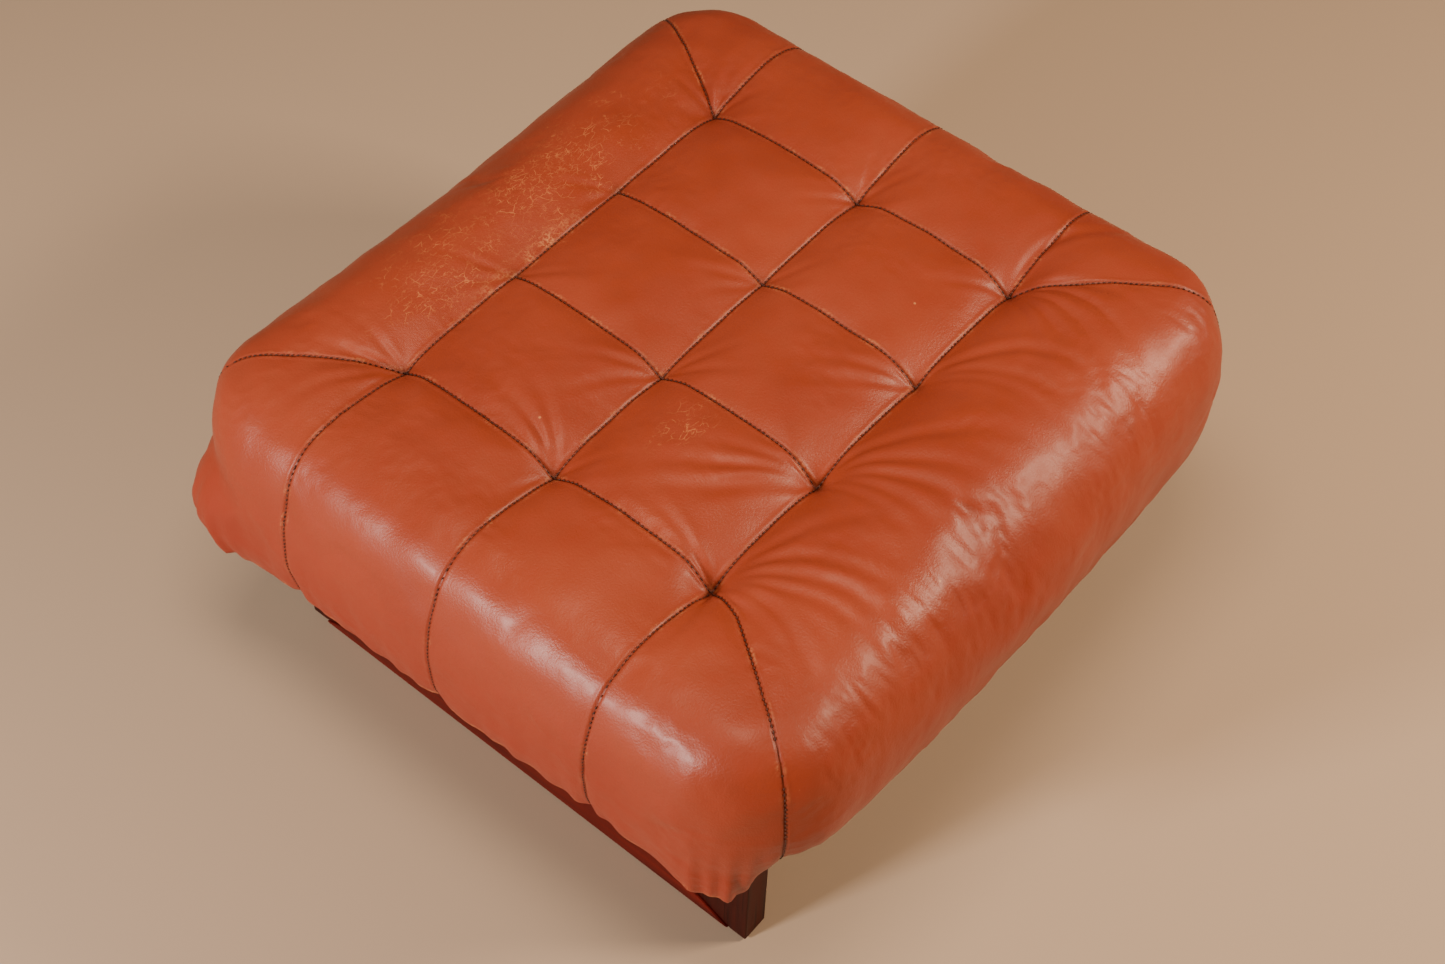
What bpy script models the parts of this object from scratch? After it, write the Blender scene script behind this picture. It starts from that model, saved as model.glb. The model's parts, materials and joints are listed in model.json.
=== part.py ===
"""Storage ottoman: a tufted leather lid, hinged along its back edge on a low rosewood box.

X runs along the long side of the seat, +Y towards the hinges and +Z up. The origin is on the floor
under the middle of the seat. All lengths are in metres.
"""

import math

import bmesh
import bpy
from mathutils import Vector

GAP = 0.0003  # clear distance between pieces that touch

# Seat, which is the lid
SEAT_X = 0.712
SEAT_Y = 0.670
SEAT_TOP = 0.360
SEAT_CORNER = 0.100
SEAT_SHOULDER = 0.078
LEATHER = 0.003
HEM_Z = 0.187
HEM_TUCK = 0.018  # how far the hem draws in from the widest part of the seat
SKIRT_Z = 0.237  # below this height the side of the cover curls in
TUFT_X = 0.134  # spacing of the tufts along X
TUFT_Y = 0.1655
TUFT_SHIFT_Y = 0.015  # the tufted field sits a little towards the hinges
TUFT_COLUMNS = (-1.5, -0.5, 0.5, 1.5)
TUFT_ROWS = (-1.0, 0.0, 1.0)
TUFT_DEPTH = 0.042  # from the top of the seat down to the end of a tie
BOARD_X = 0.610
BOARD_Y = 0.570
BOARD_CORNER = 0.070
BOARD_THICK = 0.015
FOAM_INSET = 0.0045  # from the outside of the leather to the foam
EDGE_FOAM_Z = 0.194  # underside of the foam round the board

# Base
BASE_X = 0.570
BASE_Y = 0.530
PANEL_THICK = 0.027
FOOT = 0.018  # length of each foot on the floor
FOOT_SLOPE = math.radians(28)
GLIDE_R = 0.0075
GLIDE_THICK = 0.002
GLIDE_EDGE = 0.0005  # small bevel round a glide's sole
GLIDE_NAIL_R = 0.00125
GLIDE_NAIL = 0.014
PANEL_EDGE = 0.0012  # rounding of the sharp edges of the end panels and runners
RAIL_EDGE = 0.001
RUNNER_HEIGHT = 0.075
RUNNER_PROUD = 0.002
BOX_TOP = 0.232
RAIL_BOTTOM = 0.075
RAIL_THICK = 0.018
FRONT_RAIL_Y = -0.235  # outer face of the front rail
BACK_RAIL_Y = 0.253  # outer face of the back rail
CLEAT = (0.018, 0.015)
BOTTOM_THICK = 0.006
CORNER_BLOCK = 0.028
BUMPER_R = 0.006
BUMPER_THICK = 0.0027
BUMPER_X = 0.230
BLOCK_DROP = 0.004  # the corner blocks end this far below the top of the box

# Hinges
HINGE_X = 0.170
HINGE_AXIS = (0.268, 0.180)  # Y and Z of the hinge line
HINGE_WIDTH = 0.060
KNUCKLE_R = 0.006
KNUCKLE_SPLIT = 0.010  # half the width of the middle knuckle
KNUCKLE_PLAY = 0.0005
PIN_R = 0.0025
PIN_HEAD = (0.0042, 0.0015)  # radius and thickness of a pin's riveted heads
PIN_PLAY = 0.0005
BORE_OVERRUN = 0.004
CRANK_CLEAR = 0.003  # from the barrel up to the full width of the lid leaf's upright
LEAF = 0.0022
LEAF_DROP = 0.040  # length of the leaf on the back rail
FLANGE_Y = 0.238  # front edge of the leaf under the lid board
SCREW_X = 0.018
SCREW_R = 0.002
SCREW_HEAD_R = 0.004
SCREW_LENGTH = 0.013

BOARD_Z = BOX_TOP + GAP + BUMPER_THICK + GAP
PANEL_IN = BASE_X / 2 - PANEL_THICK
PANEL_BOTTOM = GLIDE_THICK + GAP
TIE_R = 0.00125
TIE_HOLE_R = 0.0025
TIE_ANCHOR_R = 0.005
TIE_BUTTON = (0.008, 0.0030)
ANCHOR_THICK = 0.002
CHANNEL_R = 0.0065  # hole for a tie's anchor through the foam
DUST_LOW = (-0.247, -0.190)
DUST_HIGH = (0.247, 0.207)
DUST_DROP = 0.006
DUST_THICK = 0.001
ELASTIC_R = 0.0012
ELASTIC_IN = 0.0028  # from the inside of the leather to the cord
ELASTIC_UP = 0.003  # from the hem up to the cord

COLOURS = {
    "leather": ((0.50, 0.115, 0.035), 0.38, 0.0),
    "rosewood": ((0.030, 0.010, 0.006), 0.35, 0.0),
    "red_rosewood": ((0.085, 0.016, 0.009), 0.35, 0.0),
    "plywood": ((0.50, 0.33, 0.17), 0.6, 0.0),
    "pine": ((0.58, 0.40, 0.21), 0.6, 0.0),
    "foam": ((0.76, 0.66, 0.42), 0.9, 0.0),
    "dust_cloth": ((0.03, 0.03, 0.032), 0.95, 0.0),
    "elastic": ((0.72, 0.69, 0.62), 0.85, 0.0),
    "twine": ((0.62, 0.52, 0.36), 0.8, 0.0),
    "steel": ((0.46, 0.44, 0.40), 0.32, 1.0),
    "rubber": ((0.02, 0.02, 0.02), 0.7, 0.0),
    "glide_plastic": ((0.06, 0.045, 0.035), 0.5, 0.0),
}


def clear_scene():
    for old in list(bpy.data.objects):
        bpy.data.objects.remove(old, do_unlink=True)


def new_collection(name):
    made = bpy.data.collections.new(name)
    bpy.context.scene.collection.children.link(made)
    return made


def material(name):
    """The named material, made on its first use."""
    found = bpy.data.materials.get(name)
    if found:
        return found
    colour, roughness, metallic = COLOURS[name]
    made = bpy.data.materials.new(name)
    made.use_nodes = True
    shader = made.node_tree.nodes["Principled BSDF"]
    shader.inputs["Base Color"].default_value = (*colour, 1)
    shader.inputs["Roughness"].default_value = roughness
    shader.inputs["Metallic"].default_value = metallic
    return made


def place(name, mesh, finish, at=(0, 0, 0), turn=(0, 0, 0)):
    """A new object of the ottoman with this mesh and material."""
    piece = bpy.data.objects.new(name, mesh)
    piece.location = at
    piece.rotation_euler = turn
    if not mesh.materials:
        mesh.materials.append(material(finish))
    PARTS.objects.link(piece)
    return piece


def mesh_of(name, shape):
    """Turns a bmesh into a mesh and frees it."""
    bmesh.ops.recalc_face_normals(shape, faces=shape.faces)
    mesh = bpy.data.meshes.new(name)
    shape.to_mesh(mesh)
    shape.free()
    return mesh


def cube(size):
    shape = bmesh.new()
    bmesh.ops.create_cube(shape, size=1.0)
    bmesh.ops.scale(shape, vec=size, verts=shape.verts)
    return shape


def spans(low, high):
    """Size and centre of the box between two corners."""
    low, high = Vector(low), Vector(high)
    return high - low, (high + low) / 2


def soften(piece, width):
    """Rounds the sharp edges of a piece."""
    bevel = piece.modifiers.new("soft edges", "BEVEL")
    bevel.width = width
    bevel.segments = 2
    bevel.limit_method = "ANGLE"
    bevel.angle_limit = math.radians(30)


def block(name, finish, low, high, edge=0.0):
    """A box between two corners, with softened edges when a width is given."""
    size, centre = spans(low, high)
    piece = place(name, mesh_of(name, cube(size)), finish, centre)
    if edge:
        soften(piece, edge)
    return piece


def bevel_edges(shape, edges, radius, segments):
    bmesh.ops.bevel(shape, geom=edges, offset=radius, segments=segments, profile=0.5, affect="EDGES")


def upright(edge):
    return abs(edge.verts[0].co.z - edge.verts[1].co.z) > 1e-6


def round_cornered(size, corner, segments=6):
    """A box with its four upright edges rounded."""
    shape = cube(size)
    bevel_edges(shape, [edge for edge in shape.edges if upright(edge)], corner, segments)
    return shape


def pillow(size, corner, shoulder, segments=6):
    """A round-cornered box with its top rim rounded over as well."""
    shape = round_cornered(size, corner, segments)
    top = max(vertex.co.z for vertex in shape.verts)
    rim = [
        edge
        for edge in shape.edges
        if all(abs(vertex.co.z - top) < 1e-6 for vertex in edge.verts) and len(edge.link_faces) == 2
    ]
    bevel_edges(shape, rim, shoulder, segments)
    return shape


def outline_plate(name, finish, outline, thick, at):
    """A flat plate standing in the YZ plane, from (y, z) points, centred at this X."""
    curve = bpy.data.curves.new(name, "CURVE")
    curve.dimensions = "2D"
    curve.fill_mode = "BOTH"
    curve.extrude = thick / 2
    spline = curve.splines.new("POLY")
    spline.points.add(len(outline) - 1)
    for point, (y, z) in zip(spline.points, outline):
        point.co = (y, z, 0, 1)
    spline.use_cyclic_u = True
    return place(name, curve_mesh(name, curve), finish, (at, 0, 0), (math.pi / 2, 0, math.pi / 2))


def curve_mesh(name, curve):
    """The welded mesh of a curve, with flat faces made whole."""
    guide = bpy.data.objects.new(name + "_guide", curve)
    bpy.context.scene.collection.objects.link(guide)
    graph = bpy.context.evaluated_depsgraph_get()
    raw = bpy.data.meshes.new_from_object(guide.evaluated_get(graph))
    bpy.data.objects.remove(guide)
    shape = bmesh.new()
    shape.from_mesh(raw)
    bpy.data.meshes.remove(raw)
    bmesh.ops.remove_doubles(shape, verts=shape.verts, dist=1e-6)
    bmesh.ops.dissolve_limit(shape, angle_limit=1e-4, verts=shape.verts, edges=shape.edges)
    return mesh_of(name, shape)


def turned(name, profile, sides):
    """A solid of revolution about Z from (radius, z) points that run down its outer side."""
    shape = bmesh.new()
    points = [shape.verts.new((radius, 0, z)) for radius, z in profile]
    for first, second in zip(points, points[1:]):
        shape.edges.new((first, second))
    bmesh.ops.spin(
        shape,
        geom=shape.verts[:] + shape.edges[:],
        cent=(0, 0, 0),
        axis=(0, 0, 1),
        angle=2 * math.pi,
        steps=sides,
        use_merge=True,
    )
    bmesh.ops.remove_doubles(shape, verts=shape.verts, dist=1e-6)
    return mesh_of(name, shape)


def rod(radius, low, high, sides=20):
    """Profile points of a plain round bar."""
    return turned("rod", [(0, high), (radius, high), (radius, low), (0, low)], sides)


def boolean(piece, other, operation):
    step = piece.modifiers.new(f"{operation.lower()} {other.name}", "BOOLEAN")
    step.operation = operation
    step.object = other


def helper(name, mesh, at=(0, 0, 0), turn=(0, 0, 0)):
    """A shape that only cuts or joins others."""
    made = bpy.data.objects.new(name, mesh)
    made.location = at
    made.rotation_euler = turn
    made.hide_render = True
    made.display_type = "WIRE"
    CUTTERS.objects.link(made)
    return made


def box_helper(name, low, high):
    size, centre = spans(low, high)
    return helper(name, mesh_of(name, cube(size)), centre)


def tuft_points():
    """The X and Y of each tuft."""
    return [(column * TUFT_X, TUFT_SHIFT_Y + row * TUFT_Y) for row in TUFT_ROWS for column in TUFT_COLUMNS]


# Base


def foot_outline():
    """Half the lower edge of an end panel, from the floor end of the foot to the top of the runner."""
    end = BASE_Y / 2
    run = (RUNNER_HEIGHT - PANEL_BOTTOM) / math.tan(FOOT_SLOPE)
    return [(end - FOOT, PANEL_BOTTOM), (end - FOOT - run, RUNNER_HEIGHT)]


def mirrored(points):
    return [(-y, z) for y, z in reversed(points)]


def end_panel(side, name):
    """An end of the box: an upright board on two feet, cut away between them for the runner."""
    end = BASE_Y / 2
    half = [(end, BOX_TOP), (end, PANEL_BOTTOM), *foot_outline()]
    x = side * (BASE_X / 2 - PANEL_THICK / 2)
    piece = outline_plate(name, "rosewood", half + mirrored(half), PANEL_THICK, x)
    soften(piece, PANEL_EDGE)
    return piece


def runner(side, name):
    """The board between the feet, a little proud of the panel above it."""
    (low_y, low_z), (high_y, high_z) = foot_outline()
    slack = GAP / math.sin(FOOT_SLOPE)
    half = [(high_y - slack, high_z - GAP), (low_y - slack, low_z)]
    thick = PANEL_THICK + RUNNER_PROUD
    x = side * (PANEL_IN + thick / 2)
    piece = outline_plate(name, "red_rosewood", half + mirrored(half), thick, x)
    soften(piece, PANEL_EDGE)
    return piece


def glide_mesh(slack=0.0):
    """A nail-on floor glide, or the hole for its nail."""
    nail = GLIDE_NAIL_R + slack
    top = GLIDE_THICK + GLIDE_NAIL + slack
    if slack:
        return rod(nail, GLIDE_THICK, top, 12)
    stem = [(0, top), (nail, top), (nail, GLIDE_THICK)]
    sole = [(GLIDE_R, GLIDE_THICK), (GLIDE_R, GLIDE_EDGE), (GLIDE_R - GLIDE_EDGE, 0), (0, 0)]
    return turned("glide", stem + sole, 20)


def feet(panels):
    """A glide under each foot, with its nail hole in the panel."""
    for end, panel in panels.items():
        for depth, away in (("front", -1), ("back", 1)):
            at = (panel.location.x, away * (BASE_Y - FOOT) / 2, 0)
            place(f"floor_glide_{depth}_{end}", glide_mesh(), "glide_plastic", at)
            boolean(panel, helper(f"nail_hole_{depth}_{end}", glide_mesh(GAP), at), "DIFFERENCE")


def rails():
    """The two long sides of the box, between the end panels."""
    made = []
    for name, outer, inner in (
        ("front_rail", FRONT_RAIL_Y, FRONT_RAIL_Y + RAIL_THICK),
        ("back_rail", BACK_RAIL_Y, BACK_RAIL_Y - RAIL_THICK),
    ):
        low = (GAP - PANEL_IN, min(outer, inner), RAIL_BOTTOM)
        high = (PANEL_IN - GAP, max(outer, inner), BOX_TOP)
        made.append(block(name, "rosewood", low, high, RAIL_EDGE))
    return made


def well():
    """The storage well: ledger cleats, the bottom board on them, and a block in each corner."""
    x = PANEL_IN - GAP
    front = FRONT_RAIL_Y + RAIL_THICK + GAP
    back = BACK_RAIL_Y - RAIL_THICK - GAP
    wide, tall = CLEAT
    low, high = RAIL_BOTTOM, RAIL_BOTTOM + tall
    block("bottom_cleat_front", "pine", (-x, front, low), (x, front + wide, high))
    block("bottom_cleat_back", "pine", (-x, back - wide, low), (x, back, high))
    near, far = front + wide + GAP, back - wide - GAP
    block("bottom_cleat_left", "pine", (-x, near, low), (-x + wide, far, high))
    block("bottom_cleat_right", "pine", (x - wide, near, low), (x, far, high))
    floor = high + GAP
    block("box_bottom", "plywood", (-x, front, floor), (x, back, floor + BOTTOM_THICK))
    foot, head = floor + BOTTOM_THICK + GAP, BOX_TOP - BLOCK_DROP
    for end, a in (("left", -x), ("right", x - CORNER_BLOCK)):
        for depth, b in (("front", front), ("back", back - CORNER_BLOCK)):
            name = f"corner_block_{depth}_{end}"
            block(name, "pine", (a, b, foot), (a + CORNER_BLOCK, b + CORNER_BLOCK, head), RAIL_EDGE)


def bumpers():
    """Rubber buttons on the rails, which the closed lid rests on."""
    mesh = rod(BUMPER_R, 0, BUMPER_THICK)
    rows = (("front", FRONT_RAIL_Y + RAIL_THICK / 2), ("back", BACK_RAIL_Y - RAIL_THICK / 2))
    for depth, y in rows:
        for end, x in (("left", -BUMPER_X), ("right", BUMPER_X)):
            place(f"lid_bumper_{depth}_{end}", mesh, "rubber", (x, y, BOX_TOP + GAP))


# Hinges


def screw_profile(slack):
    """Countersunk wood screw, head at the origin and pointing up, or its hole when given a slack."""
    head, shank = SCREW_HEAD_R + slack, SCREW_R + slack
    cone = SCREW_HEAD_R - SCREW_R
    mouth = [(head, -0.002), (0, -0.002)] if slack else [(0, 0)]
    return [(0, SCREW_LENGTH + slack), (shank, SCREW_LENGTH + slack), (shank, cone), (head, 0), *mouth]


def screw(name, at, turn, through):
    """A wood screw and its hole in each piece that it passes through."""
    place(name, turned("screw", screw_profile(0), 14), "steel", at, turn)
    hole = helper("hole_" + name, turned("screw_hole", screw_profile(GAP), 14), at, turn)
    for piece in through:
        boolean(piece, hole, "DIFFERENCE")


def knuckle(name, x, start, end):
    """A stretch of hinge barrel along X."""
    y, z = HINGE_AXIS
    return helper(name, rod(KNUCKLE_R, start, end), (x, y, z), (0, math.pi / 2, 0))


def bore(leaf, x):
    """The pin's hole through a leaf's knuckles."""
    y, z = HINGE_AXIS
    half = HINGE_WIDTH / 2 + BORE_OVERRUN
    hole = helper(f"bore_{leaf.name}", rod(PIN_R + GAP, -half, half, 16), (x, y, z), (0, math.pi / 2, 0))
    boolean(leaf, hole, "DIFFERENCE")


def base_leaf(x, end, rail):
    """The leaf on the outer face of the back rail, with the two outer knuckles."""
    y, z = HINGE_AXIS
    half = HINGE_WIDTH / 2
    face = BACK_RAIL_Y + GAP
    low, high = (x - half, face, z - LEAF_DROP), (x + half, face + LEAF, z + LEAF / 2)
    leaf = block(f"hinge_base_leaf_{end}", "steel", low, high)
    split = KNUCKLE_SPLIT + KNUCKLE_PLAY
    for part, start, stop in (("a", -half, -split), ("b", split, half)):
        arm = box_helper(f"arm_{part}_{end}", (x + start, face, z - LEAF / 2), (x + stop, y, z + LEAF / 2))
        boolean(leaf, arm, "UNION")
        boolean(leaf, knuckle(f"outer_knuckle_{part}_{end}", x, start, stop), "UNION")
    bore(leaf, x)
    for part, shift in (("a", -SCREW_X), ("b", SCREW_X)):
        at = (x + shift, face + LEAF, z - LEAF_DROP * 0.6)
        screw(f"hinge_screw_base_{part}_{end}", at, (math.pi / 2, 0, 0), (leaf, rail))


def lid_leaf(x, end, board):
    """The cranked leaf under the lid board, with the middle knuckle."""
    y, z = HINGE_AXIS
    half = HINGE_WIDTH / 2
    top = BOARD_Z - GAP
    near, far = y - LEAF / 2, y + LEAF / 2
    leaf = block(f"hinge_lid_leaf_{end}", "steel", (x - half, FLANGE_Y, top - LEAF), (x + half, far, top))
    clear = z + KNUCKLE_R + CRANK_CLEAR
    crank = box_helper(f"crank_{end}", (x - half, near, clear), (x + half, far, top - LEAF / 2))
    tab = box_helper(f"tab_{end}", (x - KNUCKLE_SPLIT, near, z), (x + KNUCKLE_SPLIT, far, clear + LEAF))
    boolean(leaf, crank, "UNION")
    boolean(leaf, tab, "UNION")
    boolean(leaf, knuckle(f"middle_knuckle_{end}", x, -KNUCKLE_SPLIT, KNUCKLE_SPLIT), "UNION")
    bore(leaf, x)
    for part, shift in (("a", -SCREW_X), ("b", SCREW_X)):
        at = (x + shift, BACK_RAIL_Y - RAIL_THICK / 2, top - LEAF)
        screw(f"hinge_screw_lid_{part}_{end}", at, (0, 0, 0), (leaf, board))


def hinge_pin(x, end):
    """A pin riveted over at both ends."""
    y, z = HINGE_AXIS
    half = HINGE_WIDTH / 2 + PIN_PLAY
    head, tip = PIN_HEAD[0], half + PIN_HEAD[1]
    upper = [(0, tip), (head, tip), (head, half), (PIN_R, half)]
    lower = [(radius, -along) for radius, along in reversed(upper)]
    mesh = turned("hinge_pin", upper + lower, 16)
    place(f"hinge_pin_{end}", mesh, "steel", (x, y, z), (0, math.pi / 2, 0))


def hinges(rail, board):
    for end, x in (("left", -HINGE_X), ("right", HINGE_X)):
        base_leaf(x, end, rail)
        lid_leaf(x, end, board)
        hinge_pin(x, end)


# Seat


def lid_board():
    """The plywood board that carries the upholstery, with a hole for each tie."""
    size = Vector((BOARD_X, BOARD_Y, BOARD_THICK))
    mesh = mesh_of("lid_board", round_cornered(size, BOARD_CORNER))
    return place("lid_board", mesh, "plywood", (0, 0, BOARD_Z + BOARD_THICK / 2))


def seat_tuck(height):
    """How far the side of the seat has curled in at this height."""
    below = max(0.0, SKIRT_Z - height) / (SKIRT_Z - HEM_Z)
    return HEM_TUCK * below**2


def seat_shape(inset=0.0):
    """The closed outer form of the seat, centred on the origin, or the same form this far inside it."""
    top = SEAT_TOP - inset
    size = Vector((SEAT_X - 2 * inset, SEAT_Y - 2 * inset, top - HEM_Z))
    shape = pillow(size, SEAT_CORNER - inset, SEAT_SHOULDER - inset)
    centre = (top + HEM_Z) / 2
    for step in range(1, 4):
        level = HEM_Z + (SKIRT_Z - HEM_Z) * step / 4 - centre
        everything = shape.verts[:] + shape.edges[:] + shape.faces[:]
        bmesh.ops.bisect_plane(shape, geom=everything, plane_co=(0, 0, level), plane_no=(0, 0, 1))
    for vertex in shape.verts:
        tuck = seat_tuck(vertex.co.z + centre)
        vertex.co.x *= 1 - tuck / (SEAT_X / 2)
        vertex.co.y *= 1 - tuck / (SEAT_Y / 2)
    return shape, centre


def foam_form():
    """The space inside the cover, which the foam pieces are cut to."""
    shape, centre = seat_shape(FOAM_INSET)
    return helper("foam_form", mesh_of("foam_form", shape), (0, 0, centre))


def foam_piece(name, low, high, form):
    """A block of foam cut to the form of the seat."""
    piece = block(name, "foam", low, high)
    boolean(piece, form, "INTERSECT")
    return piece


def foam_pieces():
    """The foam block on the board, and the strips glued round the board down to the hem."""
    form = foam_form()
    wide, deep = SEAT_X / 2, SEAT_Y / 2
    side_x, side_y = BOARD_X / 2 + GAP, BOARD_Y / 2 + GAP  # the strips along the board's short sides
    front_y = side_y + GAP  # and those along its long sides
    low, high = EDGE_FOAM_Z, BOARD_Z + BOARD_THICK
    foam_piece("edge_foam_front", (-wide, -deep, low), (wide, -front_y, high), form)
    foam_piece("edge_foam_back", (-wide, front_y, low), (wide, deep, high), form)
    foam_piece("edge_foam_left", (-wide, -side_y, low), (-side_x, side_y, high), form)
    foam_piece("edge_foam_right", (side_x, -side_y, low), (wide, side_y, high), form)
    return foam_piece("foam_core", (-wide, -deep, high + GAP), (wide, deep, SEAT_TOP), form)


def leather_cover():
    """The leather cover: the form of the seat with no underside."""
    shape, centre = seat_shape()
    underside = [face for face in shape.faces if face.normal.z < -0.9]
    bmesh.ops.delete(shape, geom=underside, context="FACES_ONLY")
    piece = place("leather_cover", mesh_of("leather_cover", shape), "leather", (0, 0, centre))
    skin = piece.modifiers.new("leather thickness", "SOLIDIFY")
    skin.thickness = LEATHER
    skin.offset = -1.0
    skin.use_even_offset = True


def hem_loop():
    """Points round the inside of the hem, on a rounded rectangle."""
    inward = HEM_TUCK + LEATHER + ELASTIC_IN
    half_x, half_y = SEAT_X / 2 - inward, SEAT_Y / 2 - inward
    corner = SEAT_CORNER * (1 - 2 * inward / SEAT_Y)
    points = []
    for quarter, (sx, sy) in enumerate(((1, 1), (-1, 1), (-1, -1), (1, -1))):
        for step in range(7):
            angle = math.radians(90 * quarter + 15 * step)
            x = sx * (half_x - corner) + corner * math.cos(angle)
            y = sy * (half_y - corner) + corner * math.sin(angle)
            points.append((x, y))
    return points


def hem_elastic():
    """The elastic cord that gathers the hem."""
    curve = bpy.data.curves.new("hem_elastic", "CURVE")
    curve.dimensions = "3D"
    curve.bevel_depth = ELASTIC_R
    curve.bevel_resolution = 1
    spline = curve.splines.new("POLY")
    points = hem_loop()
    spline.points.add(len(points) - 1)
    for point, (x, y) in zip(spline.points, points):
        point.co = (x, y, HEM_Z + ELASTIC_UP, 1)
    spline.use_cyclic_u = True
    place("hem_elastic", curve_mesh("hem_elastic", curve), "elastic")


def ties(board, foam):
    """A tie at each tuft: a button under the board, a twine through it and an anchor in the foam."""
    wide, tall = TIE_BUTTON
    under = BOARD_Z - GAP
    top = SEAT_TOP - TUFT_DEPTH
    profile = [
        (0, top),
        (TIE_ANCHOR_R, top),
        (TIE_ANCHOR_R, top - ANCHOR_THICK),
        (TIE_R, top - ANCHOR_THICK),
        (TIE_R, under),
        (wide, under),
        (wide, under - tall),
        (0, under - tall),
    ]
    mesh = turned("tuft_tie", profile, 12)
    above = BOARD_Z + BOARD_THICK + GAP / 2
    thread_hole = rod(TIE_HOLE_R, BOARD_Z - BOARD_THICK, above, 10)
    channel = rod(CHANNEL_R, above, SEAT_TOP, 10)
    for number, (x, y) in enumerate(tuft_points(), 1):
        place(f"tuft_tie_{number:02d}", mesh, "twine", (x, y, 0))
        boolean(board, helper(f"thread_hole_{number:02d}", thread_hole, (x, y, 0)), "DIFFERENCE")
        boolean(foam, helper(f"tie_channel_{number:02d}", channel, (x, y, 0)), "DIFFERENCE")


def dust_cover():
    """The cloth tray under the board that hides the tie buttons."""
    low = (*DUST_LOW, BOARD_Z - DUST_DROP)
    high = (*DUST_HIGH, BOARD_Z - GAP)
    size, centre = spans(low, high)
    shape = cube(size)
    lid = [face for face in shape.faces if face.normal.z > 0.9]
    bmesh.ops.delete(shape, geom=lid, context="FACES_ONLY")
    piece = place("dust_cover", mesh_of("dust_cover", shape), "dust_cloth", centre)
    cloth = piece.modifiers.new("cloth thickness", "SOLIDIFY")
    cloth.thickness = DUST_THICK
    cloth.offset = -1.0


def shade_round_pieces():
    for piece in PARTS.objects:
        piece.data.shade_smooth()
        piece.data.set_sharp_from_angle(angle=math.radians(35))


clear_scene()
PARTS = new_collection("Storage ottoman")
CUTTERS = new_collection("Cutters")
CUTTERS.hide_render = True

feet({"left": end_panel(-1, "end_panel_left"), "right": end_panel(1, "end_panel_right")})
runner(-1, "runner_left")
runner(1, "runner_right")
FRONT, BACK = rails()
well()
bumpers()
BOARD = lid_board()
FOAM = foam_pieces()
ties(BOARD, FOAM)
hinges(BACK, BOARD)
leather_cover()
hem_elastic()
dust_cover()
shade_round_pieces()
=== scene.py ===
"""Looks of the storage ottoman: soft goods, stitching, materials, floor, light and camera.

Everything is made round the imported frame, in metres, with the floor at zero height.
"""

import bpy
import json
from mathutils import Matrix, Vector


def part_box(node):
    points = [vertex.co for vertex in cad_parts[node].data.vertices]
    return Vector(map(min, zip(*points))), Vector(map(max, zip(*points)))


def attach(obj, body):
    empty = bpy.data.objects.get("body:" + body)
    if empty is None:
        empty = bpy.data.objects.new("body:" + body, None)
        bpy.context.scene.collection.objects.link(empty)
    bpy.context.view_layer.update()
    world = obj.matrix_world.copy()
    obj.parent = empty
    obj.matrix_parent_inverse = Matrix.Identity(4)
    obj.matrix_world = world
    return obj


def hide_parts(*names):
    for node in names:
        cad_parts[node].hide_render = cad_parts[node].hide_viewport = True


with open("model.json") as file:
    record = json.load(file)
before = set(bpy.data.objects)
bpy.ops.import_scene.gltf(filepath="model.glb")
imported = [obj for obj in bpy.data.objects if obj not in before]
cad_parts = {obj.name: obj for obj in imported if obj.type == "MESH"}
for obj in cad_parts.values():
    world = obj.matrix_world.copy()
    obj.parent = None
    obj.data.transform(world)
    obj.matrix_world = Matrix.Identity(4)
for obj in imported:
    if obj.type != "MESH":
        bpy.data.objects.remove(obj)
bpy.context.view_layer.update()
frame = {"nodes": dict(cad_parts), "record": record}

import json
import math

import bmesh
import bpy
import numpy as np
from mathutils import Matrix, Vector, kdtree, noise

# ---------------------------------------------------------------- sizes from the frame
SEAT_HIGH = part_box("leather_cover")[1]
SWELL = 0.002  # the leather starts this much smaller, because it swells
HALF_X = SEAT_HIGH[0] - SWELL
HALF_Y = SEAT_HIGH[1] - SWELL
TOP = SEAT_HIGH[2]
BOARD_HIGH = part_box("lid_board")[1]


def middle(node):
    """The middle of a node's box."""
    low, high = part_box(node)
    return (Vector(low) + Vector(high)) / 2


TUFTS = [middle(f"tuft_tie_{number:02d}") for number in range(1, 13)]
COLUMNS = sorted({round(tuft.x, 4) for tuft in TUFTS})
ROWS = sorted({round(tuft.y, 4) for tuft in TUFTS})

# ---------------------------------------------------------------- leather: form
STEP = 0.0050  # spacing of the simulated mesh
SHOULDER = 0.080  # width of the rolled edge
CORNER = 0.106  # corner radius of the seat in plan
TURNED_HEM = 0.016  # leather turned up inside the hem
HEM_FOLD = 0.0032  # thickness of the folded hem
# Each turn of the hem: inward and beyond the edge in thicknesses of the fold, and back up as a share of the
# leather that is turned up
HEM_TURNS = ((0.45, 0.40, 0.0), (1.0, 0.15, 0.0), (1.15, 0.0, -0.45), (1.2, 0.0, -1.0))
ELASTIC_UP = 0.55  # how far up the turned hem the elastic lies
ELASTIC_IN = 0.0018
# Edge of the seat down to its widest line, as distance in from that line and distance down from the top
EDGE = ((0.080, 0.000), (0.052, 0.003), (0.026, 0.017), (0.008, 0.046), (0.000, 0.088))
WIDEST = EDGE[-1][1]
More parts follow.
